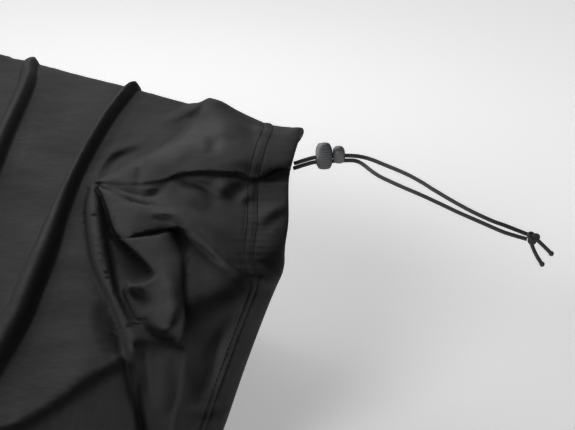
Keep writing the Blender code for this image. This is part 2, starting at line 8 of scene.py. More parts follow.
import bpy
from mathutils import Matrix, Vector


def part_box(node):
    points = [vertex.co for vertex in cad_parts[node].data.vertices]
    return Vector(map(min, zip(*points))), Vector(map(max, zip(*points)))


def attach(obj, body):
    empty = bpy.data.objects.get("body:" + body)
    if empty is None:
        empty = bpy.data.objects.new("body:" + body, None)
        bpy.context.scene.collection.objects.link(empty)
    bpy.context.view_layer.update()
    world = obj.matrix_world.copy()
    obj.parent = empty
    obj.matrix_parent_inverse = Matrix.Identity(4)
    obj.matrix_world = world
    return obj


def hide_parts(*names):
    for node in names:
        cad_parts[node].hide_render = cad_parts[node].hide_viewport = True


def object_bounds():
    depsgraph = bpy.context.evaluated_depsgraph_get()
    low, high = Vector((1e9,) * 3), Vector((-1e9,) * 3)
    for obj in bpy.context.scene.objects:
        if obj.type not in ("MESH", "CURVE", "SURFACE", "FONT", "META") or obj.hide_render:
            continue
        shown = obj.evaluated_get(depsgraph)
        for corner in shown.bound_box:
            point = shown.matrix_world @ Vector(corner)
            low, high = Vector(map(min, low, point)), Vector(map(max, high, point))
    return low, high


bl_info = {
    "name": "Keyboard dust cover",
    "version": (1, 0, 0),
    "blender": (4, 5, 0),
    "location": "View3D > Sidebar > Dust cover",
    "description": "Builds the draped dust cover, its drawcord and cord lock, and a plain studio",
    "category": "Object",
}

import math

import bmesh
import bpy
import numpy as np
from bpy.props import FloatProperty, FloatVectorProperty, IntProperty, PointerProperty
from bpy.types import Operator, Panel, PropertyGroup
from mathutils import Matrix, Vector, geometry, kdtree

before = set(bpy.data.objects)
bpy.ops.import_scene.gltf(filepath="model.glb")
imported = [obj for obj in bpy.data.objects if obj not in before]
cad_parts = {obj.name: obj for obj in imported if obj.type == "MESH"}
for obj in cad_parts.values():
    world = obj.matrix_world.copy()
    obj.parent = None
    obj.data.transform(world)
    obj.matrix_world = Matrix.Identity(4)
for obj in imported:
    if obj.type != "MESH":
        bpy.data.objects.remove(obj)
CAD_BOX = [list(corner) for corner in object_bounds()]

MM = 0.001

# The draped form of the cover, in mm
LENGTH = 1030.0
DEPTH = 450.0
HEIGHT = 125.0
EDGE_RADIUS = 7.0
CORNER_RADIUS = 20.0
HEM_TUCK = 7.0
TUCK_HEIGHT = 55.0
END_SWELL = 14.0
END_SWELL_FROM = -250.0
END_SWELL_OVER = 160.0
END_SWELL_RISE = 80.0
GATHER_DEPTH = 2.6
GATHERS_PER_CORNER = 3
SHEET_TOP = 1.5

# The flat cut: its core rectangle, the runs from there over the edge's bend and down the skirt, and the
# core's corners with the turn at which each arc round them begins, in mm and degrees
CORE_LOW = np.array((-LENGTH + CORNER_RADIUS, -DEPTH + CORNER_RADIUS))
CORE_HIGH = np.array((-CORNER_RADIUS, -CORNER_RADIUS))
FLAT_RUN = CORNER_RADIUS - EDGE_RADIUS
BEND_RUN = EDGE_RADIUS * math.pi / 2
SKIRT_REACH = FLAT_RUN + BEND_RUN + HEIGHT - EDGE_RADIUS
CORNER_ARCS = (
    (CORE_LOW[0], CORE_HIGH[1], 90),
    (CORE_LOW[0], CORE_LOW[1], 180),
    (CORE_HIGH[0], CORE_LOW[1], 270),
)
LINE_STEP = 0.5

# How the flat cut's points are spread: shares of each spacing, and the gaps kept in mm
HEM_SHARE = 0.55
CREASE_SHARE, CREASE_GAP, CREASE_THINNING = 0.62, 0.18, 0.32
RIDGE_ROW_SHARE, RIDGE_GAP, RIDGE_GRID_GAP = 0.9, 0.2, 0.5
FOLD_GRID_GAP, PLAIN_GRID_GAP = 0.6, 0.4
BEND_GAP = 1.5
FOLD_EDGE_SHARES = (0.0, 0.3, 0.62, 1.0)
WIDEST_FOLD_EDGE = 7.0
REAR_MARGIN = 4.0
WELL_INSIDE = 1.1

# Waves of the skirts along their run, and the rise and ripple of the slack in the sheet, in mm
SKIRT_WAVE, SKIRT_BEAT, SKIRT_RIPPLE = 23.0, 61.0, 11.5
FAR_SKIRT_FROM = -260
FAR_WAVE, NEAR_WAVE = 1.3, 0.4
SLACK_RISE = 0.35
SLACK_RIPPLE = 0.15

# The sight line that the folds are laid out on: across to the right, toward the eye, and up
SIGHT_TURN = math.radians(34.8)
SIGHT_RISE = math.radians(22.5)
ACROSS = np.array((math.cos(SIGHT_TURN), math.sin(SIGHT_TURN), 0.0))
TOWARD = np.array(
    (
        math.sin(SIGHT_TURN) * math.cos(SIGHT_RISE),
        -math.cos(SIGHT_TURN) * math.cos(SIGHT_RISE),
        math.sin(SIGHT_RISE),
    )
)
UPWARD = np.cross(TOWARD, ACROSS)
CORNER = np.array((LENGTH / 2, DEPTH / 2, SHEET_TOP))

# Folds: outline rows are (across, up, lift, width of the rounded edge), crown rows (across, up, lift),
# and creases are runs of (across, up, rise, half width), laid on their fold before the next covers it
SLACK_OUTLINE = (
    (-199, -17.3, 1.5, 6), (-187.2, -59, 1.5, 6), (-175, -89.6, 1.5, 6), (-169.4, -161.8, 1.5, 6),
    (-75, -161.8, 4.5, 6), (-75, -17.3, 3, 6), (-141.7, 4.9, 3, 6),
)
SLACK_CROWN = (
    (-191.7, -29.6, 3), (-188.3, -39.6, 3), (-183.9, -48.4, 3), (-176.1, -56.2, 3), (-186.7, -59, 2.5),
    (-182.8, -65.1, 3), (-144.4, -45.1, 20), (-138.9, -55.1, 19), (-131.7, -64.6, 17), (-122.2, -72.9, 15),
    (-112.8, -74, 13), (-125, -89.6, 8), (-136.1, -100.7, 7), (-147.2, -72.9, 10), (-147.2, -95.1, 6),
    (-141.7, -117.3, 4), (-119.4, -100.7, 5), (-127.8, -128.4, 3),
)
SLACK_CREASES = (
    (
        (-120.6, -80.7, 0, 5), (-127.2, -90.7, 2.2, 6), (-132.2, -101.8, 3.2, 6), (-133.9, -112.9, 3.2, 6),
        (-137.8, -125.7, 0, 5),
    ),
    ((-148.3, -100.7, 0, 6), (-146.1, -110.7, -2.2, 8), (-145.6, -120.1, -2.2, 8), (-148.3, -129.6, 0, 6)),
    ((-151.7, -132.3, 0, 3), (-141.7, -134, -1.3, 4.5), (-132.8, -132.9, -1, 4.5), (-127.2, -130.7, 0, 3)),
    (
        (-194.4, -20.1, 0, 2), (-190.6, -31.8, -4, 2.6), (-186.7, -38.4, -5, 3), (-180.6, -44.6, -6, 3.4),
        (-173.3, -51.2, -6, 3.6), (-168.3, -56.8, -3, 3), (-166.7, -59.6, 0, 2),
    ),
    (
        (-190, -79.6, 0, 3), (-185.6, -92.3, -2, 3.6), (-182.2, -105.1, -2.6, 3.6), (-179.4, -118.4, -2.6, 3.6),
        (-175.6, -134, -2, 3.6), (-173.3, -146.2, -1.5, 3.6),
    ),
    ((-196.7, -72.9, 0, 6), (-191.7, -85.1, -2.4, 10), (-186.1, -100.7, -2.4, 10), (-182.8, -112.9, 0, 8)),
    (
        (-201.7, -9.6, 0.6, 4), (-197.8, 0.4, 1.2, 5), (-191.1, 9.3, 1.2, 5), (-181.7, 12.7, 0.8, 5),
        (-171.7, 14.9, 0, 4),
    ),
    ((-197.2, -5.1, 0, 3), (-190.6, 4.3, -0.7, 3.4), (-179.4, 9.3, -0.4, 4), (-169.4, 11.6, 0, 4)),
    ((-165, 24.9, 0, 4), (-155, 29.9, 0.8, 4), (-143.3, 34.9, 0.6, 4)),
    ((-212.8, -95.1, 0, 7), (-203.9, -105.1, 1, 9), (-213.9, -124, 0, 8)),
)
LEAF_OUTLINE = (
    (-186.7, -38.4, 30, 2), (-182.2, -42.3, 31, 2), (-175, -48.4, 32, 2), (-169.4, -54.6, 31, 2),
    (-167.2, -58.4, 28, 2), (-171.1, -62.3, 24, 2.4), (-176.1, -63.7, 19, 2.4), (-181.1, -62.9, 15, 3),
    (-184.4, -67.3, 10, 4), (-182.2, -73.4, 8, 4), (-177.2, -81.8, 7, 5), (-166.7, -90.1, 9, 5),
    (-157.2, -94.3, 12, 4), (-151.7, -92.9, 14, 3), (-149.4, -82.9, 16, 3), (-148.9, -67.3, 20, 3),
    (-149.4, -51.8, 24, 3), (-150.6, -42.3, 20, 4), (-157.2, -33.4, 31, 3), (-166.7, -34, 32, 4),
    (-176.1, -35.7, 31, 3),
)
LEAF_CROWN = (
    (-175, -42.3, 31.5), (-166.7, -47.9, 32), (-161.1, -56.2, 33), (-158.3, -67.3, 33), (-156.1, -78.4, 30),
    (-156.1, -86.8, 24), (-165.6, -72.9, 16), (-171.7, -69.6, 10), (-169.4, -79.6, 11), (-162.2, -85.1, 17),
    (-152.8, -61.8, 29), (-163.9, -39.6, 32.5), (-156.1, -41.2, 28),
)
LEAF_CREASES = (
    ((-180.6, -65.7, 0, 4), (-176.1, -69.6, -1.5, 5.5), (-171.1, -72.9, -1.2, 5.5), (-167.2, -76.8, 0, 4)),
    ((-181.1, -63.2, 0.3, 2), (-175, -63.7, 1.3, 2.4), (-170, -61.2, 1.3, 2.4), (-166.7, -56.8, 0.3, 2.2)),
    ((-156.7, -34.6, 0, 3), (-153.3, -36.2, -1.4, 4), (-151.1, -41.2, -1.6, 4), (-148.9, -50.7, 0, 4)),
    ((-175, -74.6, 0, 4), (-169.4, -84.6, -1.4, 4), (-162.2, -91.2, 0, 4)),
)
CRUMPLE_OUTLINE = (
    (-198.3, -9.6, 12, 3), (-186.1, -17.3, 20, 3), (-169.4, -22.9, 28, 4), (-147.2, -31.2, 33, 6),
    (-125, -51.8, 22, 8), (-107.2, -67.3, 8, 12), (-75, -67.3, 6, 8), (-75, 2.1, 10, 8), (-141.7, 10.4, 30, 8),
    (-186.1, -1.8, 14, 6),
)
CRUMPLE_CROWN = (
    (-187.2, -10.1, 17), (-175, -10.1, 26), (-162.2, -8.4, 34.5), (-152.8, -5.7, 41), (-140, -4.6, 43),
    (-129.4, -4.6, 42), (-119.4, -6.2, 37), (-111.1, -8.4, 30), (-100, -10.1, 24.5), (-86.1, -11.8, 20),
    (-186.1, -13.4, 18), (-177.8, -15.7, 22), (-169.4, -16.8, 27), (-159.4, -19, 33), (-152.8, -12.9, 36),
    (-142.8, -20.1, 35), (-133.3, -12.9, 36), (-116.7, -17.3, 29), (-105.6, -20.1, 25), (-94.4, -25.7, 20),
    (-127.8, -31.2, 31), (-113.9, -39.6, 23), (-100, -45.1, 16),
)
CRUMPLE_CREASES = (
    ((-183.9, -11.2, 0, 2), (-180, -9.6, 0.6, 2.4), (-176.7, -10.7, 0, 2)),
    ((-175.6, -15.1, 0, 2.4), (-171.7, -11.8, 0.7, 3), (-167.8, -9.6, 0, 2.4)),
    ((-169.4, -16.8, 0, 2.4), (-165, -12.9, -0.9, 3.2), (-160.6, -8.4, -0.4, 2.8)),
    ((-190.6, -10.9, -0.3, 1.8), (-180.6, -13.4, -1.1, 2.4), (-169.4, -14.6, -1.3, 3), (-161.7, -13.4, 0, 2.4)),
    (
        (-155, -6.2, -0.3, 4), (-147.2, -9.6, -1.6, 4.4), (-139.4, -11.8, -1.8, 4.4),
        (-133.9, -17.3, -0.8, 4.4), (-132.8, -21.2, 0, 4),
    ),
    ((-156.1, -12.9, 0, 5), (-148.3, -15.7, 1, 6), (-139.4, -19, 0.6, 5)),
    ((-135, -8.4, 0, 6), (-128.9, -10.7, 1.6, 7), (-123.9, -11.2, 0, 6)),
    ((-121.7, -6.8, 0, 4), (-119.4, -10.7, -1, 5.4), (-121.1, -16.8, -0.5, 5)),
    ((-121.7, -19.6, 0, 4), (-117.2, -15.7, 1.2, 4.5), (-111.7, -11.8, 0, 4)),
    ((-110.6, -31.8, 0, 4), (-103.9, -24.6, 0.8, 5), (-93.9, -20.1, 0.3, 5)),
    ((-107.2, -36.2, 0, 4), (-100.6, -29, -0.5, 4.2), (-93.9, -24.6, -0.2, 4)),
)
SHOULDER_OUTLINE = (
    (-198.9, -10.4, 14, 2), (-192.8, -12.1, 20, 2), (-186.1, -15.1, 26, 2.2), (-177.8, -18.4, 32, 2.4),
    (-169.4, -20.1, 35, 3), (-159.4, -20.9, 38, 5), (-147.2, -22.3, 37, 9), (-133.3, -27.3, 34, 13),
    (-119.4, -39.6, 26, 14), (-107.2, -51.8, 18, 14), (-94.4, -59, 13, 14), (-94.4, -68.4, 9, 12),
    (-107.2, -68.4, 13, 14), (-119.4, -64.6, 16, 12), (-129.4, -55.1, 23, 5), (-140, -45.1, 32, 2.6),
    (-147.2, -39.6, 35, 2.6), (-151.7, -35.7, 35, 3.6), (-158.3, -34.3, 33, 2), (-166.7, -35.7, 31, 1.8),
    (-175, -37.6, 30, 1.8), (-182.2, -39.8, 30, 2), (-186.7, -37.9, 29, 2), (-190, -33.4, 27, 2),
    (-195, -19.6, 20, 2),
)
SHOULDER_CROWN = (
    (-188.9, -16.8, 25), (-182.2, -20.7, 33), (-175, -22.3, 38), (-161.1, -23.4, 42), (-153.9, -25.7, 44),
    (-147.2, -30.1, 44), (-140, -35.7, 41), (-133.3, -42.3, 37), (-126.1, -49, 31), (-119.4, -52.3, 26),
    (-111.1, -54, 20), (-103.9, -57.3, 15), (-183.3, -29.6, 32), (-172.2, -29.6, 36), (-161.1, -30.1, 38),
    (-169.4, -34.6, 33),
)
SHOULDER_CREASES = (
    (
        (-169.4, -27.3, 0, 2.6), (-162.8, -27.6, -1, 3), (-155, -28.4, -1.5, 3.6), (-147.8, -35.1, -1.6, 4),
        (-138.9, -43.4, -1.2, 4.4), (-129.4, -52.9, 0, 4),
    ),
    (
        (-191.7, -12.9, 0, 4), (-180.6, -19, 0.5, 6), (-169.4, -21.8, 0.8, 8), (-159.4, -22.3, 1, 9),
        (-151.7, -26.2, 1.1, 9), (-143.3, -33.4, 1, 9), (-134.4, -41.8, 0.8, 9), (-125, -48.4, 0.5, 9),
        (-113.9, -51.8, 0, 8),
    ),
)
TUBE_OUTLINE = (
    (-201.1, -9, 11, 2.4), (-205, -13.4, 11, 3.4), (-206.4, -22.9, 12, 4), (-205, -37.3, 13, 4),
    (-202.2, -50.7, 13, 4), (-197.2, -62.9, 13, 4), (-192.2, -72.3, 12, 4), (-187.2, -82.9, 12, 4),
    (-183.9, -92.3, 11, 5), (-181.1, -103.4, 10, 6), (-178.3, -114.6, 9, 4.6), (-173.9, -134, 9, 3.4),
    (-171.1, -146.2, 9, 3.4), (-169.4, -157.3, 9, 4), (-157.2, -157.3, 10, 3), (-155, -139.6, 10, 3),
    (-151.1, -125.7, 11, 3), (-148.9, -111.8, 13, 3), (-148.3, -100.7, 14, 3), (-155, -95.7, 14, 4),
    (-166.7, -90.7, 10, 5), (-176.7, -82.9, 9, 5), (-182.2, -74.6, 9, 4), (-185.6, -67.3, 10, 3.6),
    (-187.8, -59, 11, 3.4), (-190.6, -46.2, 12, 3), (-192.8, -36.8, 13, 3), (-195, -25.7, 14, 3),
    (-197.5, -15.1, 14, 2.4),
)
TUBE_CROWN = (
    (-200.3, -15.1, 21), (-200.2, -17.7, 23), (-200.1, -20.3, 25), (-200, -22.9, 27), (-199.2, -27.7, 28.3),
    (-198.3, -32.5, 29.7), (-197.5, -37.3, 31), (-196.5, -41.8, 31), (-195.4, -46.2, 31), (-194.4, -50.7, 31),
    (-193.2, -54.7, 30), (-191.8, -58.8, 29), (-190.6, -62.9, 28), (-188.9, -67.2, 27), (-187.2, -71.4, 26),
    (-185.6, -75.7, 25), (-183.5, -80.3, 24), (-181.5, -84.9, 23), (-179.4, -89.6, 22), (-203.3, -15.1, 17),
    (-203.4, -17.7, 18.7), (-203.5, -20.3, 20.3), (-203.6, -22.9, 22), (-202.9, -27.7, 23), (-202.3, -32.5, 24),
    (-201.7, -37.3, 25), (-200.7, -41.8, 25), (-199.8, -46.2, 25), (-198.9, -50.7, 25), (-197.4, -54.7, 24.3),
    (-195.9, -58.8, 23.7), (-194.4, -62.9, 23), (-192.8, -67.2, 22.3), (-191.1, -71.4, 21.7),
    (-189.4, -75.7, 21), (-187.8, -79.7, 20.3), (-186.1, -83.8, 19.7), (-184.4, -87.9, 19), (-196.7, -22.9, 22),
    (-195.9, -27.7, 22), (-195.2, -32.5, 22), (-194.4, -37.3, 22), (-193.7, -41.1, 21.7), (-192.9, -44.7, 21.3),
    (-192.2, -48.4, 21), (-190.9, -52.5, 20.3), (-189.6, -56.6, 19.7), (-188.3, -60.7, 19),
    (-187.2, -63.8, 18.3), (-186.1, -66.9, 17.7), (-185, -70.1, 17), (-181.7, -96.2, 18), (-179.4, -104, 15.5),
    (-173.3, -100.7, 20), (-177.8, -109.6, 15), (-163.9, -107.3, 20), (-155, -110.7, 17), (-168.3, -128.4, 18),
    (-160.6, -135.1, 15), (-169.4, -114.6, 20), (-174.4, -122.9, 15),
)
TUBE_CREASES = (
    ((-171.7, -97.3, 0, 3), (-170.6, -106.2, 1.2, 3.6), (-169.4, -120.1, 1.2, 3.6), (-168.3, -129.6, 0, 3)),
    ((-161.7, -101.8, 0, 5), (-159.4, -114.6, -2.2, 7), (-160, -127.3, -2.2, 7), (-163.9, -135.1, 0, 5)),
)
TAB_OUTLINE = (
    (-107.2, -4, 26, 2), (-103.9, -8.4, 22, 2), (-91.7, -8.4, 18, 2), (-79.4, -8.4, 14, 2), (-79.4, 4.9, 14, 2),
    (-102.8, 4.9, 28, 2),
)
FLAP_OUTLINE = (
    (-199.4, -7.9, 10, 2), (-188.3, -1.8, 16, 2.6), (-175, 6, 24, 3), (-157.2, 16, 23, 3), (-147.2, 26, 14, 3),
    (-140, 34.9, 8, 3), (-135, 44.9, 6, 3), (-75, 44.9, 4, 4), (-77.8, -1.8, 12, 2), (-91.7, -0.1, 27, 1.4),
    (-99.4, -0.7, 32, 1.4), (-107.2, -5.1, 33, 1.4), (-112.8, -6.2, 36, 1.4), (-119.4, -3.4, 42, 1.3),
    (-129.4, -2.9, 47, 1.3), (-140, -2.6, 48, 1.3), (-152.8, -4, 45, 1.3), (-162.2, -7.3, 38, 1.4),
    (-175, -9, 29, 1.6), (-187.2, -9, 19, 1.8),
)
FLAP_CROWN = (
    (-190, -5.1, 19), (-177.8, 1, 32), (-165.6, 4.9, 43), (-150, 6.3, 49), (-140, 7.1, 50), (-130.6, 7.7, 49),
    (-119.4, 5.4, 46), (-111.1, 1.6, 40), (-101.7, 3.2, 35.5), (-91.7, 4.9, 30), (-175, -5.7, 31),
    (-162.2, -3.4, 40), (-150, -0.1, 47.5), (-140, 0.7, 49.5), (-129.4, 0.4, 48.5), (-119.4, -0.7, 44),
    (-107.2, -1.8, 36), (-152.8, 12.1, 46), (-163.9, 10.4, 38), (-130.6, 23.2, 32), (-113.9, 18.8, 29),
    (-97.2, 16, 24), (-119.4, 32.7, 16), (-97.2, 27.1, 12), (-141.7, 20.4, 32),
)
FLAP_CREASES = (
    ((-138.9, 12.7, 0, 5), (-134.4, 13.2, -1.8, 6.5), (-129.4, 13.5, 0, 5)),
    ((-173.3, 4.9, 0, 3.5), (-174.4, -0.7, -1.6, 4.4), (-176.1, -6.2, -0.8, 3.5)),
    ((-126.1, 3.2, 0, 3), (-116.7, 0.4, -0.4, 3.4), (-109.4, -4, -0.3, 3)),
    ((-119.4, 33.8, 0, 4), (-113.9, 22.7, -1.4, 6), (-112.8, 10.4, 0, 5)),
    ((-138.9, 28.2, 0, 5), (-129.4, 22.7, 1.6, 7), (-119.4, 20.4, 0, 5)),
)
FOLDS = (
    (SLACK_OUTLINE, SLACK_CROWN, SLACK_CREASES),
    (LEAF_OUTLINE, LEAF_CROWN, LEAF_CREASES),
    (CRUMPLE_OUTLINE, CRUMPLE_CROWN, CRUMPLE_CREASES),
    (SHOULDER_OUTLINE, SHOULDER_CROWN, SHOULDER_CREASES),
    (TUBE_OUTLINE, TUBE_CROWN, TUBE_CREASES),
    (TAB_OUTLINE, (), ()),
    (FLAP_OUTLINE, FLAP_CROWN, FLAP_CREASES),
)

# How the folds are laid: the plates' slack, the creases' gain, how the plain form's depth follows the
# sight plane, the finely laid zones of the flat cut, and the reach of each blend in mm
PLATE_SLACK = 4.0
CREASE_GAIN = 1.2
TOP_DEPTH = -UPWARD[2] / TOWARD[2]
END_DEPTH = (-ACROSS[0] / TOWARD[0], -UPWARD[0] / TOWARD[0])
FOLD_ZONE = (-232.0, -342.0, 130.0, 30.0)
RIDGE_ZONE = (-340.0, -470.0, 60.0, 60.0)
RIDGE_STEPS = 20
REAR_FADE = (1.0, 16.0)
LEAN_BLEND = 10.0
FACING_FADE = 0.2
LEAST_FACING = 0.36
THINNEST_SHARE = 0.38

# Slack ridges of the top panel: flat cut x, y, height, width on the left of the run, width on its right
RIDGES = (
    (
        (-216, 6, 3, 5, 5),
        (-215.5, -5, 4.5, 5, 5),
        (-211.5, -20, 5.5, 5, 5.2),
        (-198, -58, 6.5, 5.2, 5.6),
        (-173, -116, 7.5, 5.2, 5.8),
        (-145.5, -174, 9.5, 6, 7.5),
        (-116, -232, 11.5, 7.5, 10),
        (-88, -288, 12, 8.5, 10.5),
        (-66, -334, 11, 9, 11),
        (-30, -425, 7, 10, 12),
        (-17, -455, 3, 10, 12),
    ),
    (
        (-290, 6, 2.5, 5, 5),
        (-285, -5, 3.5, 5.5, 5.5),
        (-279, -17, 4.5, 5.5, 6),
        (-266, -38, 6, 6, 6.5),
        (-235, -102, 8, 6.5, 7.5),
        (-187, -200, 10, 7, 9),
        (-133, -330, 10, 8, 10),
        (-95, -430, 6, 10, 12),
        (-88, -455, 3, 10, 12),
    ),
)
RIDGE_ROUND = 0.95
RIDGE_FOOT_SHARE = 0.1
RIDGE_FOOT_REACH = 13.0
# The trough along a ridge's right foot, its depth as a share of the ridge's height and its half width in mm
TROUGH_SHARE = 0.6
TROUGH_REACH = 7.0
TROUGH_ROWS = (2.0, 3.8, 5.4, 7.0)
RIDGE_SHARES = np.array((0.2, 0.4, 0.58, 0.74, 0.86, 0.94, 1.0, 1.08))
RIDGE_CLEARANCE = 1.12

# Lift of the sheet beside the rear edge, as flat cut x and height, and how far in it reaches
REAR_LIFT = (
    (-178, 0.0), (-170, 3.0), (-165.5, 7.0), (-158, 6.8), (-150, 4.8), (-138.7, 2.6), (-130.6, 1.5),
    (-121.8, 1.0), (-112, 1.0), (-106.9, 1.6), (-102, 3.4),
)
REAR_LIFT_REACH = 22.0

# The pulled-back hem of the flat cut from the end skirt round to the rear skirt, as x and y
PULLED_HEM = (
    (121, -264), (117, -250), (98, -237), (73, -223), (36, -197), (0, -165), (-32, -116), (-57, -80),
    (-69, -62), (-80, -43), (-93, -19), (-104, 3), (-125, 35), (-160, 85), (-182, 112), (-200, 122),
)

# Casing: distances from the hem's edge in mm, and how the cloth stands out there
CASING_ROWS = (0.35, 1.0, 2.2, 4.2, 6.5, 9.5, 13.0)
GROOVES = (17.5, 23.0)
GROOVE_DEPTH = 0.75
GROOVE_HALF = 1.3
HEM_ROWS = (*CASING_ROWS, *(groove + side for groove in GROOVES for side in (-GROOVE_HALF, 0.0, GROOVE_HALF)))
CORD_BULGE, CORD_AT, CORD_REACH = 0.5, 7.0, 5.0
SEAM_BULGE, SEAM_REACH = 0.25, 2.0
PUCKER_REACH = 34.0
PUCKER_RISE, PUCKER_PITCH = 0.32, 1.45
DRAG_RISE, DRAG_PITCH = 0.5, 4.7
FULL_UNTIL = 5.0
SINGLE_THICKNESS = 1.2

# Drawcord routes: x, y, z in mm
UPPER_STRAND = (
    (441.7, 174.2, 4.8), (446.8, 183.6, 6.0), (449.5, 185.9, 6.3), (455.1, 190.8, 6.6), (461.2, 196.0, 6.7),
    (467.6, 199.3, 6.7), (475.4, 200.2, 6.4), (484.9, 199.6, 5.6), (494.4, 199.1, 4.7), (503.7, 198.4, 3.5),
    (513.3, 196.6, 2.2), (521.5, 194.8, 0.8), (533.5, 193.2, -1.6), (543.3, 192.0, -3.4), (552.5, 191.6, -5.2),
    (562.5, 193.4, -8.0), (568.5, 196.8, -10.4), (573.0, 200.2, -12.9), (579.4, 203.5, -15.5),
)
LOWER_STRAND = (
    (441.7, 173.5, 2.1), (446.8, 183.6, 3.2), (449.5, 185.9, 3.5), (455.1, 190.8, 3.7), (461.2, 196.0, 3.8),
    (466.5, 198.3, 4.0), (473.0, 196.2, 4.1), (481.0, 191.8, 4.0), (489.5, 188.2, 3.6), (499.3, 186.3, 2.9),
    (508.8, 185.2, 2.0), (518.5, 184.9, 0.8), (526.7, 186.2, -1.4), (535.0, 187.3, -3.6), (543.9, 188.3, -5.9),
    (553.1, 189.5, -8.0), (563.6, 191.4, -10.8), (569.3, 193.0, -12.6), (574.0, 195.6, -14.3),
    (580.6, 200.4, -16.9),
)
UPPER_TAIL = ((584.6, 203.0, -16.6), (586.2, 203.2, -17.4), (591.6, 203.0, -20.6), (596.8, 202.7, -23.7))
LOWER_TAIL = ((583.2, 201.6, -18.6), (583.9, 200.9, -20.3), (587.9, 199.9, -25.4), (592.3, 200.0, -30.5))
KNOT_AT = np.array((583.1, 202.9, -16.5))
KNOT_SCALE = 0.98
KNOT_SWELL = 1.04
KNOT_TURNS = ((35, "Z"), (20, "Y"), (70, "X"))

# Cord lock: its turn, its pieces' sizes in mm, and the slot's place in metres
LOCK_TURN = math.radians(40.8)
LOCK_POWER, SLOT_POWER = 3.0, 4.0
DRUM_SIZE = (9.5, 11.0, 15.0)
BUTTON_SIZE = (6.8, 8.4, 9.4)
SLOT_SIZE = (60.0, 3.2, 6.2)
SLOT_AT = (0.4521, 0.1882, 0.00515)

# Stitches: shares of the half length and the thread's size at each, and how the thread lies in its groove
STITCH_ROWS = ((-1.0, 0.45), (-0.55, 0.95), (0.0, 1.0), (0.55, 0.95), (1.0, 0.45))
STITCH_SIDES = 6
STITCH_SINK = 0.85
STITCH_BASE, STITCH_ARCH = 0.1, 0.32

# View and lights: the view's middle in mm across, up and toward from the drawn-back corner, and each
# light's azimuth and rise in degrees, distance and size in metres
VIEW_MIDDLE = (-93.06, -25.69, 45.0)
SENSOR_WIDTH = 36.0
FLOOR_HALF = 40.0
FLOOR_GAP = 0.002
LIGHT_AIM = (-0.12, -0.15, 0.0)
LIGHTS = (
    ("key", 208, 16, 2.2, 0.9),
    ("top", 165, 42, 1.8, 1.0),
    ("side", 165, 22, 0.9, 0.5),
    ("back", 131, 25, 0.55, 0.4),
    ("fill", 284, 30, 2.2, 0.8),
)


# Sheet geometry, in mm


def smooth_line(rows, closed=False, steps=5):
    """Return a Catmull-Rom line through rows of any width."""
    rows = np.array(rows, float)
    count = len(rows)
    line = []
    for i in range(count if closed else count - 1):
        if closed:
            before, start, end, after = (rows[(i + k) % count] for k in (-1, 0, 1, 2))
        else:
            before, start, end, after = rows[max(i - 1, 0)], rows[i], rows[i + 1], rows[min(i + 2, count - 1)]
        for k in range(steps):
            t = k / steps
            line.append(
                start
                + 0.5 * (end - before) * t
                + 0.5 * (2 * before - 5 * start + 4 * end - after) * t**2
                + 0.5 * (3 * start - before - 3 * end + after) * t**3
            )
    if not closed:
        line.append(rows[-1])
    return np.array(line)


def spaced(line, step, closed=False, width=2):
    """Return the line read again at even steps of its length."""
    if closed:
        line = np.vstack((line, line[:1]))
    run = np.concatenate(([0.0], np.cumsum(np.linalg.norm(np.diff(line[:, :width], axis=0), axis=1))))
    count = max(2, round(run[-1] / step))
    marks = np.linspace(0, run[-1], count, endpoint=not closed)
    return np.column_stack([np.interp(marks, run, column) for column in line.T])


def inside(points, ring):
    """Tell which points lie inside a closed ring."""
    found = np.zeros(len(points), bool)
    for start, end in zip(ring[:, :2], np.roll(ring[:, :2], -1, axis=0)):
        if start[1] != end[1]:
            crosses = (start[1] > points[:, 1]) != (end[1] > points[:, 1])
            where = start[0] + (points[:, 1] - start[1]) * (end[0] - start[0]) / (end[1] - start[1])
            found ^= crosses & (points[:, 0] < where)
    return found


def near_line(points, line):
    """Return each point's distance and fraction to every stretch of a line, and the stretches."""
    start = line[:-1, :2]
    stretch = line[1:, :2] - start
    away = points[:, None] - start[None]
    share = (away * stretch).sum(axis=2) / np.maximum((stretch**2).sum(axis=1), 1e-9)
    share = np.clip(share, 0, 1)
    gap = np.linalg.norm(away - stretch * share[..., None], axis=2)
    return gap, share, stretch, away


def between(line, column, share):
    """Return one column of a line's rows, read at a fraction of every stretch."""
    return line[:-1, column] + np.diff(line[:, column]) * share


def beside(points, line):
    """Return each point's nearest stretch of a line, its distance, its fraction, and if it is on the left."""
    gap, share, stretch, away = near_line(points, line)
    nearest = gap.argmin(axis=1)
    each = np.arange(len(points))
    side = stretch[nearest, 0] * away[each, nearest, 1] - stretch[nearest, 1] * away[each, nearest, 0]
    return nearest, gap[each, nearest], share[each, nearest], side > 0


def inward_of(line, reach):
    """Return unit directions into a closed ring at its points, read over a reach of points each way."""
    ahead = np.roll(line, -reach, axis=0) - np.roll(line, reach, axis=0)
    inward = np.column_stack((-ahead[:, 1], ahead[:, 0])) / np.linalg.norm(ahead, axis=1)[:, None]
    return inward if inside(line[:1] + inward[:1] * 0.01, line)[0] else -inward


def tree_of(points):
    """Return a search tree of flat points."""
    tree = kdtree.KDTree(len(points))
    for index, (x, y) in enumerate(points):
        tree.insert((x, y, 0), index)
    tree.balance()
    return tree


def gaps_to(tree, points):
    """Return each flat point's distance to the nearest one in a search tree."""
    return np.array([tree.find((x, y, 0))[2] for x, y in points])


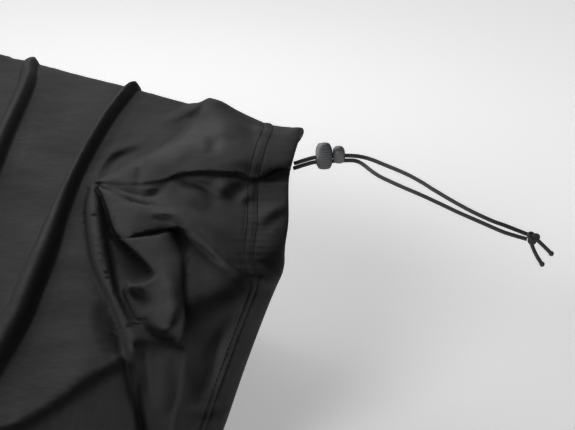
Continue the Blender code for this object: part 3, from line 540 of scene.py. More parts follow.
def plate(rows):
    """Return the height function of a thin plate bent through rows of (across, up, height)."""
    rows = np.array(rows, float)
    spots = rows[:, :2]
    count = len(spots)

    def bend(points):
        square = ((points[:, None] - spots[None]) ** 2).sum(axis=2)
        return 0.5 * square * np.log(np.maximum(square, 1e-9))

    system = np.zeros((count + 3, count + 3))
    system[:count, :count] = bend(spots) + np.eye(count) * PLATE_SLACK
    system[:count, count] = 1
    system[:count, count + 1 :] = spots
    system[count:, :count] = system[:count, count:].T
    weights = np.linalg.solve(system, np.append(rows[:, 2], (0, 0, 0)))
    return lambda points: bend(points) @ weights[:count] + weights[count] + points @ weights[count + 1 :]


def within(points, line, margin):
    """Return the indices of the points in a line's box, with a margin round it."""
    low = line[:, :2].min(axis=0) - margin
    high = line[:, :2].max(axis=0) + margin
    return np.nonzero(((points > low) & (points < high)).all(axis=1))[0]


def crease_rise(points, rows, gain):
    """Return the rise of one crease, a soft ridge or trough along a run of rows."""
    line = smooth_line(rows)
    rise = np.zeros(len(points))
    near = within(points, line, line[:, 3].max())
    if len(near):
        gap, share, _, _ = near_line(points[near], line)
        reach = gap / between(line, 3, share)
        pick = np.arange(len(near)), reach.argmin(axis=1)
        rise[near] = gain[near] * between(line, 2, share)[pick] * np.clip(1 - reach[pick] ** 2, 0, 1) ** 2
    return rise


def plain_depth(row):
    """Return how far toward the eye the plain form lies at a place of the sight plane, its end edge sharp."""
    across, up = row[:2]
    return min(up * TOP_DEPTH, across * END_DEPTH[0] + up * END_DEPTH[1])


def lay_fold(lift, away, points, depth, gain, outline, crown, creases):
    """Lay one fold and its creases over the lift so far, and update the distance off the folds."""
    line = smooth_line(outline, closed=True)
    line = np.vstack((line, line[:1]))
    near = within(points, line, 2 * LEAN_BLEND)
    spot = points[near]
    gap, share, _, _ = near_line(spot, line)
    on_fold = inside(spot, line[:-1])
    reach = np.where(on_fold, (gap / between(line, 3, share)).min(axis=1), 0)
    cover = np.sin(np.clip(reach, 0, 1) * math.pi / 2)
    height = plate([(row[0], row[1], row[2] + plain_depth(row)) for row in (*outline, *crown)])
    away[near] = np.minimum(away[near], np.where(on_fold, 0, gap.min(axis=1)))
    lift[near] += (height(spot) - depth[near] - lift[near]) * cover
    for rows in creases:
        lift += crease_rise(points, rows, gain)


def fold_lift(points, depth, gain):
    """Return how far the folds stand toward the eye over the plain form's depth, and the distance off them."""
    lift = np.zeros(len(points))
    away = np.full(len(points), np.inf)
    for outline, crown, creases in FOLDS:
        lay_fold(lift, away, points, depth, gain, outline, crown, creases)
    return lift, away


def ridge_rise(points, rows):
    """Return the rise of one slack ridge, a rounded roll with a low foot on its right."""
    line = smooth_line(rows, steps=RIDGE_STEPS)
    rise = np.zeros(len(points))
    near = within(points, line, line[:, 3:5].max() + RIDGE_FOOT_REACH)
    # The run goes toward the player, so its left hand is the instrument's right
    nearest, gap, share, on_right = beside(points[near], line)
    start, end = line[nearest], line[nearest + 1]
    height, left, right = (start[:, k] + (end[:, k] - start[:, k]) * share for k in (2, 3, 4))
    reach = gap / np.where(on_right, right, left)
    roll = np.clip(1 - reach**2, 0, 1) ** RIDGE_ROUND
    foot = np.clip(1 - (gap / (right + RIDGE_FOOT_REACH)) ** 2, 0, 1) ** 2
    foot = np.where(on_right, foot, roll)
    trough = np.clip(1 - ((gap - right) / TROUGH_REACH) ** 2, 0, 1) ** 2 * on_right
    rise[near] = height * ((1 - RIDGE_FOOT_SHARE) * roll + RIDGE_FOOT_SHARE * foot - TROUGH_SHARE * trough)
    return rise


def drape(cut):
    """Return the points and outward normals of the plain draped form for points of the flat cut."""
    core = np.clip(cut, CORE_LOW, CORE_HIGH)
    away = cut - core
    run = np.linalg.norm(away, axis=1)
    heading = away / np.maximum(run, 1e-9)[:, None]
    bend = np.clip((run - FLAT_RUN) / EDGE_RADIUS, 0, math.pi / 2)
    past = np.maximum(run - FLAT_RUN - BEND_RUN, 0)
    drop = EDGE_RADIUS * (1 - np.cos(bend)) + past
    foot = np.clip((drop - HEIGHT + TUCK_HEIGHT) / TUCK_HEIGHT, 0, 1)
    turn = np.arctan2(heading[:, 1], heading[:, 0])
    in_corner = np.clip(4 * np.abs(heading[:, 0] * heading[:, 1]), 0, 1)
    gather = GATHER_DEPTH * foot * in_corner * np.cos(4 * GATHERS_PER_CORNER * turn)
    # The skirts hang in slow waves that grow toward the hem
    along = core[:, 0] + core[:, 1]
    wave = np.cos(along / SKIRT_WAVE) * np.cos(along / SKIRT_BEAT + 1.0)
    wave += 0.5 * np.cos(along / SKIRT_RIPPLE + 2.0)
    size = np.where(along < FAR_SKIRT_FROM, FAR_WAVE, NEAR_WAVE)
    wave *= (1 - in_corner) * np.clip(drop / HEIGHT, 0, 1) * size
    swell = np.clip((END_SWELL_FROM - core[:, 1]) / END_SWELL_OVER, 0, 1) * np.clip(heading[:, 0], 0, 1)
    swell = END_SWELL * swell * np.clip((run - FLAT_RUN + END_SWELL_RISE) / END_SWELL_RISE, 0, 1) ** 2
    out = np.minimum(run, FLAT_RUN) + EDGE_RADIUS * np.sin(bend) - HEM_TUCK * foot**2 + gather + wave + swell
    place = np.column_stack((core + heading * out[:, None], -drop))
    normal = np.column_stack((heading * np.sin(bend)[:, None], np.cos(bend)))
    return place, normal


def unfold(across, up):
    """Return the flat cut's point that the plain draped form shows at one place of the sight plane."""
    start = ACROSS * across + UPWARD * up
    top = start - TOWARD * (start[2] / TOWARD[2])
    if top[0] <= -EDGE_RADIUS:
        return top[0], top[1]
    end = start - TOWARD * (start[0] / TOWARD[0])
    if end[2] < -EDGE_RADIUS:
        return -end[2] - EDGE_RADIUS * (2 - math.pi / 2), end[1]
    away = np.array((start[0] + EDGE_RADIUS, start[2] + EDGE_RADIUS))
    sight = np.array((TOWARD[0], TOWARD[2]))
    half = sight @ away
    reach = math.sqrt(max(half**2 - (sight @ sight) * (away @ away - EDGE_RADIUS**2), 0)) - half
    hit = start + TOWARD * reach / (sight @ sight)
    bend = math.atan2(hit[0] + EDGE_RADIUS, hit[2] + EDGE_RADIUS)
    return EDGE_RADIUS * (bend - 1), hit[1]


def sheet_slack(cut):
    """Return the slow rise and fine ripple of the slack in the sheet."""
    x, y = cut.T
    slack = SLACK_RISE * np.sin(x / 31 + 0.6 * np.sin(y / 47)) * np.sin(y / 39 + x / 83)
    return slack + SLACK_RIPPLE * np.sin(x / 13 + y / 17) * np.sin(y / 19 - x / 29)


def place_cloth(cut):
    """Return the draped sheet's outer points, and the way through the sheet, for points of the flat cut."""
    place, normal = drape(cut)
    sight = np.column_stack((place @ ACROSS, place @ UPWARD))
    fade = np.clip((-cut[:, 1] - REAR_FADE[0]) / REAR_FADE[1], 0, 1)
    fade = fade * fade * (3 - 2 * fade)
    facing = normal @ TOWARD
    lift, away = fold_lift(sight, place @ TOWARD, CREASE_GAIN / np.clip(facing, LEAST_FACING, 1.0))
    lift = np.where(facing > 0, lift * fade, 0)
    rise = sum(ridge_rise(cut, rows) for rows in RIDGES)
    rear = np.array(REAR_LIFT)
    near = np.clip(1 - np.abs(cut[:, 1]) / REAR_LIFT_REACH, 0, 1)
    back = np.interp(cut[:, 0], rear[:, 0], rear[:, 1], left=0) * near * near * (3 - 2 * near)
    lean = np.clip(1 - away / LEAN_BLEND, 0, 1) * np.clip(facing / FACING_FADE, 0, 1) * fade
    through = normal * (1 - lean)[:, None] + TOWARD * lean[:, None]
    through /= np.linalg.norm(through, axis=1)[:, None]
    rise = np.maximum(rise, back) + sheet_slack(cut)
    return place + normal * rise[:, None] + TOWARD * lift[:, None], through


def cut_line():
    """Return the flat cut's outline as a fine closed line: the pulled-back hem and three rounded corners."""
    ring = [tuple(row) for row in smooth_line(PULLED_HEM)]
    for centre_x, centre_y, first in CORNER_ARCS:
        for degrees in range(first, first + 91, 3):
            turn = math.radians(degrees)
            ring.append((centre_x + SKIRT_REACH * math.cos(turn), centre_y + SKIRT_REACH * math.sin(turn)))
    return spaced(np.array(ring), LINE_STEP, closed=True)


def triangle_grid(box, step):
    """Return the points of an even triangular grid over a box."""
    low_x, low_y, high_x, high_y = box
    points = []
    for j, y in enumerate(np.arange(low_y, high_y, step * math.sqrt(0.75))):
        for x in np.arange(low_x + (step / 2 if j % 2 else 0), high_x, step):
            points.append((x, y))
    return np.array(points)


def thinned(points, gap):
    """Return the points without those closer together than a gap."""
    cells = {}
    kept = []
    for x, y in points:
        column, row = int(x // gap), int(y // gap)
        around = (spot for i in (-1, 0, 1) for j in (-1, 0, 1) for spot in cells.get((column + i, row + j), ()))
        if all((x - u) ** 2 + (y - v) ** 2 >= gap * gap for u, v in around):
            cells.setdefault((column, row), []).append((x, y))
            kept.append((x, y))
    return np.array(kept)


def well_inside(points, line):
    """Tell which points lie inside a fold beyond its soft edge."""
    line = np.vstack((line, line[:1]))
    gap, share, _, _ = near_line(points, line)
    return inside(points, line[:-1]) & ((gap / between(line, 3, share)).min(axis=1) > WELL_INSIDE)


def crease_points(step):
    """Return points of the flat cut along each fold's edge and just inside it."""
    found = []
    lines = [smooth_line(outline, closed=True) for outline, _, _ in FOLDS]
    for index, line in enumerate(lines[1:], start=2):
        inward = inward_of(line[:, :2], 1)
        for share in FOLD_EDGE_SHARES:
            sight = line[:, :2] + inward * (line[:, 3] * share)[:, None]
            cut = np.array([unfold(*row) for row in sight])
            rows = spaced(np.column_stack((cut, line[:, 3], sight)), step, closed=True)
            rows = rows[(rows[:, 2] < WIDEST_FOLD_EDGE) & (rows[:, 1] < -REAR_MARGIN)]
            for cover in lines[index:]:
                rows = rows[~well_inside(rows[:, 3:5], cover)]
            found.append(rows[:, :2])
    return thinned(np.vstack(found), step * CREASE_THINNING)


def ridge_points(step):
    """Return points of the flat cut in rows along each ridge's crest and down its steep side."""
    found = []
    for rows in RIDGES:
        line = spaced(smooth_line(rows, steps=RIDGE_STEPS), step)
        ahead = np.gradient(line[:, :2], axis=0)
        ahead /= np.linalg.norm(ahead, axis=1)[:, None]
        left_hand = np.column_stack((-ahead[:, 1], ahead[:, 0]))
        for share in (*-RIDGE_SHARES[::-1], 0.0, *RIDGE_SHARES[:-1]):
            width = line[:, 4] if share > 0 else line[:, 3]
            found.append(line[:, :2] + left_hand * (width * share)[:, None])
        for beyond in TROUGH_ROWS:
            found.append(line[:, :2] + left_hand * (line[:, 4] + beyond)[:, None])
    return np.vstack(found)


def off_ridges(points):
    """Tell which points lie off the bands that the ridges' own rows fill."""
    clear = np.ones(len(points), bool)
    for rows in RIDGES:
        line = smooth_line(rows, steps=RIDGE_STEPS)
        near = within(points, line, 20.0)
        nearest, gap, _, on_right = beside(points[near], line)
        right, left = line[nearest, 4] + TROUGH_REACH, line[nearest, 3] * RIDGE_CLEARANCE
        clear[near] = gap > np.where(on_right, right, left)
    return clear


def edge_points(step):
    """Return points of the flat cut along the bends over the instrument's edges and round its corners."""
    bends = FLAT_RUN + BEND_RUN * np.linspace(0, 1, 5)
    found = []
    for run in bends:
        for x in np.arange(CORE_LOW[0], CORE_HIGH[0], step):
            found += [(x, run + CORE_HIGH[1]), (x, CORE_LOW[1] - run)]
        for y in np.arange(CORE_LOW[1], CORE_HIGH[1], step):
            found += [(run + CORE_HIGH[0], y), (CORE_LOW[0] - run, y)]
    for centre_x, centre_y, first in reversed(CORNER_ARCS):
        for run in (3.0, 8.0, *bends, *np.arange(34.0, SKIRT_REACH - 14, 9.0)):
            spokes = max(6, round(min(run, 60) * 0.7))
            for k in range(spokes + 1):
                turn = math.radians(first + 90 * k / spokes)
                found.append((centre_x + run * math.cos(turn), centre_y + run * math.sin(turn)))
    return np.array(found)


def casing_points(line, ring):
    """Return points of the flat cut in rows along the casing, beside the hem and its grooves."""
    inward = inward_of(line, 3)
    return np.vstack([line[ring] + inward[ring] * distance for distance in HEM_ROWS])


def in_zone(points, box):
    """Tell which points lie beyond a box's low corner, toward the drawn-back corner."""
    return (points[:, 0] > box[0]) & (points[:, 1] > box[1])


def cut_mesh(fold_step, ridge_step, plain_step):
    """Return the flat cut's points and triangles, its fine outline, and how many points are on its hem."""
    line = cut_line()
    fine = in_zone(line, FOLD_ZONE)
    steps = np.where(fine, fold_step, plain_step * HEM_SHARE)
    ring = []
    run = 0.0
    for index, step in enumerate(steps):
        run += LINE_STEP
        if run >= step:
            ring.append(index)
            run = 0.0
    outline = line[ring]
    taken = [outline]

    def take(points, gap):
        points = points[inside(points, outline)]
        taken.append(points[gaps_to(tree_of(np.vstack(taken)), points) > gap])

    casing = casing_points(line, ring)
    off_hem = gaps_to(tree_of(line), casing)
    taken.append(casing[(off_hem > np.repeat(HEM_ROWS, len(ring)) * 0.97) & inside(casing, outline)])
    take(crease_points(fold_step * CREASE_SHARE), fold_step * CREASE_GAP)
    take(ridge_points(fold_step * RIDGE_ROW_SHARE), RIDGE_GAP)
    grid = triangle_grid(FOLD_ZONE, fold_step)
    take(grid[off_ridges(grid)], fold_step * FOLD_GRID_GAP)
    edges = edge_points(plain_step)
    take(edges[~in_zone(edges, FOLD_ZONE)], BEND_GAP)
    grid = triangle_grid(RIDGE_ZONE, ridge_step)
    take(grid[~in_zone(grid, FOLD_ZONE) & off_ridges(grid)], ridge_step * RIDGE_GRID_GAP)
    grid = triangle_grid((-LENGTH - HEIGHT, -DEPTH - HEIGHT, HEIGHT, HEIGHT), plain_step)
    take(grid[~in_zone(grid, RIDGE_ZONE)], plain_step * PLAIN_GRID_GAP)
    points = [Vector(row) for row in np.vstack(taken)]
    points, _, faces, *_ = geometry.delaunay_2d_cdt(points, [], [list(range(len(outline)))], 1, 1e-6)
    return np.array([tuple(point) for point in points]), faces, line, len(outline)


def hem_place(cut, line, on_hem):
    """Return each point's distance from the hem and its place along it, for the points near the hem."""
    tree = tree_of(line)
    found = [tree.find((x, y, 0)) for x, y in cut]
    off = np.array([gap for _, _, gap in found])
    off[:on_hem] = 0
    return off, np.array([nearest * LINE_STEP for _, nearest, _ in found])


def casing_profile(off, along, lip):
    """Return how far the casing's outer side stands out, and how thick the casing is, by place on the hem."""
    edge = np.clip(off, 0, lip)
    rounding = lip - np.sqrt(np.maximum(lip**2 - (lip - edge) ** 2, 0))
    out = -rounding
    for groove in GROOVES:
        out -= GROOVE_DEPTH * np.clip(1 - ((off - groove) / GROOVE_HALF) ** 2, 0, 1)
    cord = CORD_BULGE * np.exp(-(((off - CORD_AT) / CORD_REACH) ** 2))
    out += cord + SEAM_BULGE * np.exp(-(((off - sum(GROOVES) / 2) / SEAM_REACH) ** 2))
    reach = np.clip(1 - np.abs(off - GROOVES[0]) / (PUCKER_REACH - GROOVES[0]), 0, 1)
    beat = 0.6 + 0.4 * np.cos(along / 37.0 + 1.3)
    out += PUCKER_RISE * reach * beat * np.cos(along / PUCKER_PITCH + 1.7 * np.cos(along / 19.0))
    out += DRAG_RISE * reach**0.5 * np.cos(along / DRAG_PITCH + 2.0 * np.cos(along / 31.0)) * (1 - beat)
    plump = np.clip(1 - (off - FULL_UNTIL) / (GROOVES[0] - FULL_UNTIL), 0, 1)
    return out, 2 * (lip - rounding) * plump + SINGLE_THICKNESS * (1 - plump)


def outward(cut):
    """Return unit normals of the laid sheet at points of the flat cut, from small steps beside them."""
    east, _ = place_cloth(cut + (0.4, 0))
    west, _ = place_cloth(cut - (0.4, 0))
    north, _ = place_cloth(cut + (0, 0.4))
    south, _ = place_cloth(cut - (0, 0.4))
    normal = np.cross(east - west, north - south)
    return normal / np.maximum(np.linalg.norm(normal, axis=1), 1e-9)[:, None]


# Mesh helpers


def linked(name, data):
    """Add an object to the scene."""
    item = bpy.data.objects.new(name, data)
    bpy.context.scene.collection.objects.link(item)
    return item


def add_object(name, mesh, material):
    """Add a smooth mesh object that rides on the root, with one material."""
    mesh.shade_smooth()
    item = linked(name, mesh)
    mesh.materials.clear()
    mesh.materials.append(material)
    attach(item, "root")
    return item


def mesh_of(name, shape):
    """Return a new mesh of a shape, with its faces turned outward."""
    bmesh.ops.recalc_face_normals(shape, faces=shape.faces[:])
    mesh = bpy.data.meshes.new(name)
    shape.to_mesh(mesh)
    shape.free()
    return mesh


def order_faces(shape, on_hem):
    """Put the faces that join the sheet's two sides after its triangles, in order round the hem."""
    shape.verts.index_update()
    shape.faces.index_update()

    def place(face):
        if len(face.verts) == 3:
            return face.index
        first, second = sorted(vertex.index for vertex in face.verts)[:2]
        return len(shape.faces) + first * on_hem + second

    shape.faces.sort(key=place)


def frames_along(path):
    """Return the headings of a path and two sideways directions that turn as little as they can."""
    heading = np.gradient(path, axis=0)
    heading /= np.linalg.norm(heading, axis=1)[:, None]
    side = np.cross(heading[0], (0.0, 0.0, 1.0))
    sides = []
    for ahead in heading:
        side = side - ahead * (side @ ahead)
        side /= np.linalg.norm(side)
        sides.append(side)
    sides = np.array(sides)
    return heading, sides, np.cross(heading, sides)


def tube_mesh(name, path, radius, sides=18, closed=False):
    """Return a round tube along a path in mm, with its length and turn as texture coordinates."""
    _, left, up = frames_along(path)
    count = len(path)
    radius = np.broadcast_to(radius, count)
    turns = np.linspace(0, 2 * math.pi, sides, endpoint=False)
    ring = left[:, None] * np.cos(turns)[None, :, None] + up[:, None] * np.sin(turns)[None, :, None]
    points = path[:, None] + ring * radius[:, None, None]
    run = np.concatenate(([0.0], np.cumsum(np.linalg.norm(np.diff(path, axis=0), axis=1))))
    shape = bmesh.new()
    layer = shape.loops.layers.uv.new("braid")
    rings = [[shape.verts.new(point * MM) for point in row] for row in points]
    for i in range(count if closed else count - 1):
        start, end = rings[i], rings[(i + 1) % count]
        for j in range(sides):
            k = (j + 1) % sides
            face = shape.faces.new((start[j], start[k], end[k], end[j]))
            far = run[i + 1] if i < count - 1 else run[i] + 0.5
            for loop, length, turn in zip(face.loops, (run[i], run[i], far, far), (j, j + 1, j + 1, j)):
                loop[layer].uv = (length / 100.0, turn / sides)
    if not closed:
        shape.faces.new(rings[0][::-1])
        shape.faces.new(rings[-1])
    return mesh_of(name, shape)


def rounded_form(name, size, power, rings, sides, rib=0.0, rib_pitch=1.2):
    """Return a soft-cornered block in mm, ribbed round its height if a rib depth is given."""
    half = np.array(size) / 2
    shape = bmesh.new()
    rows = []
    for i in range(1, rings):
        z = -math.cos(math.pi * i / rings)
        swell = (1 - abs(z) ** power) ** (1 / power)
        depth = rib * (0.5 + 0.5 * math.cos(2 * math.pi * z * half[2] / rib_pitch)) ** 2
        row = []
        for k in range(sides):
            turn = 2 * math.pi * k / sides
            c, s = math.cos(turn), math.sin(turn)
            grow = swell / (abs(c) ** power + abs(s) ** power) ** (1 / power)
            spot = Vector((c * (half[0] * grow - depth), s * (half[1] * grow - depth), z * half[2]))
            row.append(shape.verts.new(spot * MM))
        rows.append(row)
    for lower, upper in zip(rows, rows[1:]):
        for k in range(sides):
            m = (k + 1) % sides
            shape.faces.new((lower[k], lower[m], upper[m], upper[k]))
    for row, z in ((rows[0][::-1], -1.0), (rows[-1], 1.0)):
        tip = shape.verts.new((0, 0, z * half[2] * MM))
        for k in range(sides):
            shape.faces.new((row[k], row[(k + 1) % sides], tip))
    return mesh_of(name, shape)


# Materials


class Nodes:
    """A node tree with short calls to add and link nodes."""

    def __init__(self, tree):
        self.tree = tree

    def add(self, kind, **values):
        node = self.tree.nodes.new(kind)
        for name, value in values.items():
            setattr(node, name, value)
        return node

    def join(self, source, target):
        self.tree.links.new(source, target)

    def math(self, operation, first, second=None):
        node = self.add("ShaderNodeMath", operation=operation)
        for socket, value in zip(node.inputs, (first, second)):
            if value is None:
                continue
            if isinstance(value, (int, float)):
                socket.default_value = value
            else:
                self.join(value, socket)
        return node.outputs[0]

    def wave(self, value):
        return self.math("ABSOLUTE", self.math("SINE", self.math("MULTIPLY", value, math.pi)))

    def place(self):
        return self.add("ShaderNodeTexCoord").outputs["Object"]

    def noise(self, vector, scale, detail=2.0, rough=0.5):
        node = self.add("ShaderNodeTexNoise")
        node.inputs["Scale"].default_value = scale
        node.inputs["Detail"].default_value = detail
        node.inputs["Roughness"].default_value = rough
        self.join(vector, node.inputs["Vector"])
        return node.outputs["Fac"]

    def spread(self, value, low, high, to_low, to_high):
        node = self.add("ShaderNodeMapRange")
        for name, number in (("From Min", low), ("From Max", high), ("To Min", to_low), ("To Max", to_high)):
            node.inputs[name].default_value = number
        self.join(value, node.inputs["Value"])
        return node.outputs["Result"]

    def mix(self, factor, first, second):
        node = self.add("ShaderNodeMix", data_type="RGBA")
        self.join(factor, node.inputs["Factor"])
        for socket, value in ((node.inputs["A"], first), (node.inputs["B"], second)):
            if hasattr(value, "is_output"):
                self.join(value, socket)
            else:
                socket.default_value = (*value, 1.0)
        return node.outputs["Result"]

    def bump(self, height, distance, strength=1.0, normal=None):
        node = self.add("ShaderNodeBump")
        node.inputs["Distance"].default_value = distance
        node.inputs["Strength"].default_value = strength
        self.join(height, node.inputs["Height"])
        if normal:
            self.join(normal, node.inputs["Normal"])
        return node.outputs["Normal"]


def wire_knit(nodes, start, end):
    """The knit's stitches: a height, and a painted shade that is darker in the hollows between stitches, over a
    flat coordinate in metres.
    """
    split = nodes.add("ShaderNodeSeparateXYZ")
    nodes.join(start["Vector"], split.inputs[0])
    wale = nodes.math("MULTIPLY", split.outputs["X"], start["Wales per metre"])
    course = nodes.math("MULTIPLY", split.outputs["Y"], start["Wales per metre"])
    course = nodes.math("ADD", nodes.math("MULTIPLY", course, 1.25), nodes.math("PINGPONG", wale, 0.5))
    column = nodes.math("MULTIPLY", nodes.wave(wale), 0.6)
    height = nodes.math("ADD", column, nodes.math("MULTIPLY", nodes.wave(course), 0.4))
    nodes.join(height, end["Height"])
    # The shade follows the stitches' height: painted shade in their hollows
    nodes.join(nodes.spread(height, 0.1, 0.9, 0.0, 1.0), end["Shade"])


def wire_lint(nodes, start, end):
    """Slow unevenness and sparse pale lint over a surface, from a position in metres."""
    slow = nodes.noise(start["Vector"], 26.0, 4.0, 0.6)
    nodes.join(nodes.spread(slow, 0.3, 0.7, 0.0, 1.0), end["Unevenness"])
    specks = nodes.add("ShaderNodeTexNoise")
    nodes.join(start["Vector"], specks.inputs["Vector"])
    nodes.join(start["Lint size"], specks.inputs["Scale"])
    nodes.join(nodes.spread(specks.outputs["Fac"], 0.74, 0.82, 0.0, 1.0), end["Lint"])


def wire_braid(nodes, start, end):
    """The cord's braid: crossing strands round the tube, and a painted shade that is darker in the hollows
    between strands, from its length and turn.
    """
    split = nodes.add("ShaderNodeSeparateXYZ")
    nodes.join(start["Vector"], split.inputs[0])
    along = nodes.math("MULTIPLY", split.outputs["X"], 55.0)
    around = nodes.math("MULTIPLY", split.outputs["Y"], start["Strands"])
    slant = nodes.math("MULTIPLY", along, 1.6)
    strands = (nodes.wave(nodes.math(way, around, slant)) for way in ("ADD", "SUBTRACT"))
    height = nodes.math("MULTIPLY", *strands)
    nodes.join(height, end["Height"])
    # The shade follows the strands' height: painted shade in the hollows between them
    nodes.join(nodes.spread(height, 0.0, 0.7, 0.0, 1.0), end["Shade"])


# Shader groups: name, the one setting and its value, the outputs, and what wires them
KNIT = ("knit_stitches", "Wales per metre", 1700.0, ("Height", "Shade"), wire_knit)
LINT = ("uneven_lint", "Lint size", 900.0, ("Unevenness", "Lint"), wire_lint)
BRAID = ("cord_braid", "Strands", 8.0, ("Height", "Shade"), wire_braid)


def shared_group(name, setting, value, outputs, wire):
    """Return a shader group by its name, made once with a vector, one setting and its outputs."""
    tree = bpy.data.node_groups.get(name)
    if not tree:
        tree = bpy.data.node_groups.new(name, "ShaderNodeTree")
        tree.interface.new_socket("Vector", in_out="INPUT", socket_type="NodeSocketVector")
        tree.interface.new_socket(setting, in_out="INPUT", socket_type="NodeSocketFloat").default_value = value
        for label in outputs:
            tree.interface.new_socket(label, in_out="OUTPUT", socket_type="NodeSocketFloat")
        nodes = Nodes(tree)
        wire(nodes, nodes.add("NodeGroupInput").outputs, nodes.add("NodeGroupOutput").inputs)
    return tree


def new_material(name, roughness, **constants):
    """Return a material, its nodes and its Principled shader with constant sockets set."""
    material = bpy.data.materials.new(name)
    material.use_nodes = True
    nodes = Nodes(material.node_tree)
    shader = material.node_tree.nodes["Principled BSDF"]
    shader.inputs["Roughness"].default_value = roughness
    for label, value in constants.items():
        shader.inputs[label.replace("_", " ")].default_value = value
    return material, nodes, shader


def place_group(nodes, group, vector):
    """Place a shared group in a material, feed its coordinate, and return its outputs."""
    node = nodes.add("ShaderNodeGroup")
    node.node_tree = shared_group(*group)
    nodes.join(vector, node.inputs["Vector"])
    return node.outputs


def tones(colour, dark, light):
    """Return a darker and a lighter tone of a colour."""
    return tuple(value * dark for value in colour), tuple(value * light for value in colour)


def cloth_material(name, colour, roughness):
    """Knitted stretch cloth: fine stitches with painted shade in their hollows, slow unevenness, sparse lint
    and a faint sheen.
    """
    material, nodes, shader = new_material(
        name, roughness, Sheen_Weight=0.02, Sheen_Roughness=0.45, Specular_IOR_Level=0.15
    )
    cut = nodes.add("ShaderNodeUVMap", uv_map="cut")
    here = nodes.place()
    knit = place_group(nodes, KNIT, cut.outputs["UV"])
    lint = place_group(nodes, LINT, here)
    dark, light = tones(colour, 0.82, 1.2)
    shade = nodes.mix(lint["Unevenness"], dark, light)
    # Painted shade: the colour is lighter on the stitches' tops and darker in the hollows between them
    shade = nodes.mix(nodes.math("MULTIPLY", knit["Shade"], 0.35), shade, light)
    shade = nodes.mix(nodes.math("MULTIPLY", lint["Lint"], 0.3), shade, (0.12, 0.12, 0.125))
    nodes.join(shade, shader.inputs["Base Color"])
    uneven = nodes.spread(lint["Unevenness"], 0.0, 1.0, roughness - 0.05, roughness + 0.06)
    nodes.join(uneven, shader.inputs["Roughness"])
    fine = nodes.bump(knit["Height"], 0.00012, 0.6)
    limp = nodes.noise(here, 95.0, 3.0, 0.55)
    nodes.join(nodes.bump(limp, 0.0012, 0.35, fine), shader.inputs["Normal"])
    return material


def cord_material(name, colour):
    """Braided elastic cord, with painted shade darker in the hollows between its strands."""
    material, nodes, shader = new_material(
        name, 0.6, Sheen_Weight=0.2, Sheen_Roughness=0.4, Specular_IOR_Level=0.4
    )
    run = nodes.add("ShaderNodeUVMap", uv_map="braid")
    braid = place_group(nodes, BRAID, run.outputs["UV"])
    lint = place_group(nodes, LINT, nodes.place())
    # Painted shade: the braid is lighter on the strands' crests and darker between them
    shade = nodes.mix(braid["Shade"], *tones(colour, 0.6, 1.5))
    shade = nodes.mix(nodes.math("MULTIPLY", lint["Lint"], 0.3), shade, (0.14, 0.14, 0.145))
    nodes.join(shade, shader.inputs["Base Color"])
    nodes.join(nodes.spread(braid["Shade"], 0.0, 1.0, 0.75, 0.5), shader.inputs["Roughness"])
    nodes.join(nodes.bump(braid["Height"], 0.00022, 0.9), shader.inputs["Normal"])
    return material


def thread_material(name, colour):
    """Sewing thread of the cloth's colour, a little smoother, with painted shade that follows the twist's
    relief.
    """
    material, nodes, shader = new_material(
        name, 0.55, Sheen_Weight=0.02, Sheen_Roughness=0.4, Specular_IOR_Level=0.2
    )
    twist = nodes.noise(nodes.place(), 2600.0, 1.0, 0.5)
    # Painted shade: the noise that raises the twist lightens its high places and darkens its low ones
    nodes.join(nodes.mix(twist, *tones(colour, 0.7, 1.6)), shader.inputs["Base Color"])
    nodes.join(nodes.bump(twist, 0.00008, 0.7), shader.inputs["Normal"])
    return material


def moulded_material(name, colour, roughness):
    """Moulded plastic with a fine grain and rubbed patches here and there."""
    material, nodes, shader = new_material(name, roughness, Specular_IOR_Level=0.5)
    here = nodes.place()
    grain = nodes.noise(here, 2400.0, 2.0, 0.5)
    rub = nodes.noise(here, 420.0, 3.0, 0.6)
    nodes.join(nodes.mix(rub, *tones(colour, 0.85, 1.25)), shader.inputs["Base Color"])
    nodes.join(nodes.spread(rub, 0.3, 0.7, roughness - 0.06, roughness + 0.1), shader.inputs["Roughness"])
    nodes.join(nodes.bump(grain, 0.00005, 0.5), shader.inputs["Normal"])
    return material


# Settings


def length_setting(name, description, default):
    """Return a length in metres for a settings group."""
    return FloatProperty(
        name=name, description=description, default=default, min=0.0, precision=5, unit="LENGTH"
    )


def number_setting(name, description, default, most):
    """Return a plain number for a settings group."""
    return FloatProperty(name=name, description=description, default=default, min=0.0, max=most)


def colour_setting(name, description, default):
    """Return a linear colour for a settings group."""
    return FloatVectorProperty(
        name=name, description=description, default=default, min=0.0, max=1.0, size=3, subtype="COLOR"
    )


class ClothSettings(PropertyGroup):
    """Sizes and colours of the sheet and its stitches."""

    fold_step: length_setting("Fold spacing", "Spacing of the sheet's points in the folds", 0.0023)
    ridge_step: length_setting("Ridge spacing", "Spacing of the sheet's points on the slack ridges", 0.005)
    plain_step: length_setting("Plain spacing", "Spacing of the sheet's points on the plain panels", 0.012)
    thickness: length_setting("Thickness", "Thickness of the stretch cloth", 0.0012)
    lip_radius: length_setting("Hem radius", "Radius of the hem's rounded edge", 0.0021)
    stitch_pitch: length_setting("Stitch pitch", "Distance from one stitch to the next", 0.003)
    stitch_length: length_setting("Stitch length", "Length of each stitch", 0.0023)
    thread_radius: length_setting("Thread radius", "Radius of the sewing thread", 0.00028)
    colour: colour_setting("Cloth colour", "Colour of the stretch cloth", (0.0082, 0.0086, 0.0094))
    thread_colour: colour_setting("Thread colour", "Colour of the sewing thread", (0.0085, 0.0088, 0.0096))
    roughness: number_setting("Roughness", "Roughness of the cloth", 0.58, 1.0)


class CordSettings(PropertyGroup):
    """Sizes and colour of the drawcord."""

    diameter: length_setting("Cord diameter", "Diameter of the drawcord", 0.0023)
    bead: length_setting("Tail bead", "Radius of the melted bead at each tail's end", 0.00155)
    sides: IntProperty(name="Sides", description="Faces round the cord", default=18, min=8, max=48)
    colour: colour_setting("Cord colour", "Colour of the braid", (0.028, 0.029, 0.0305))


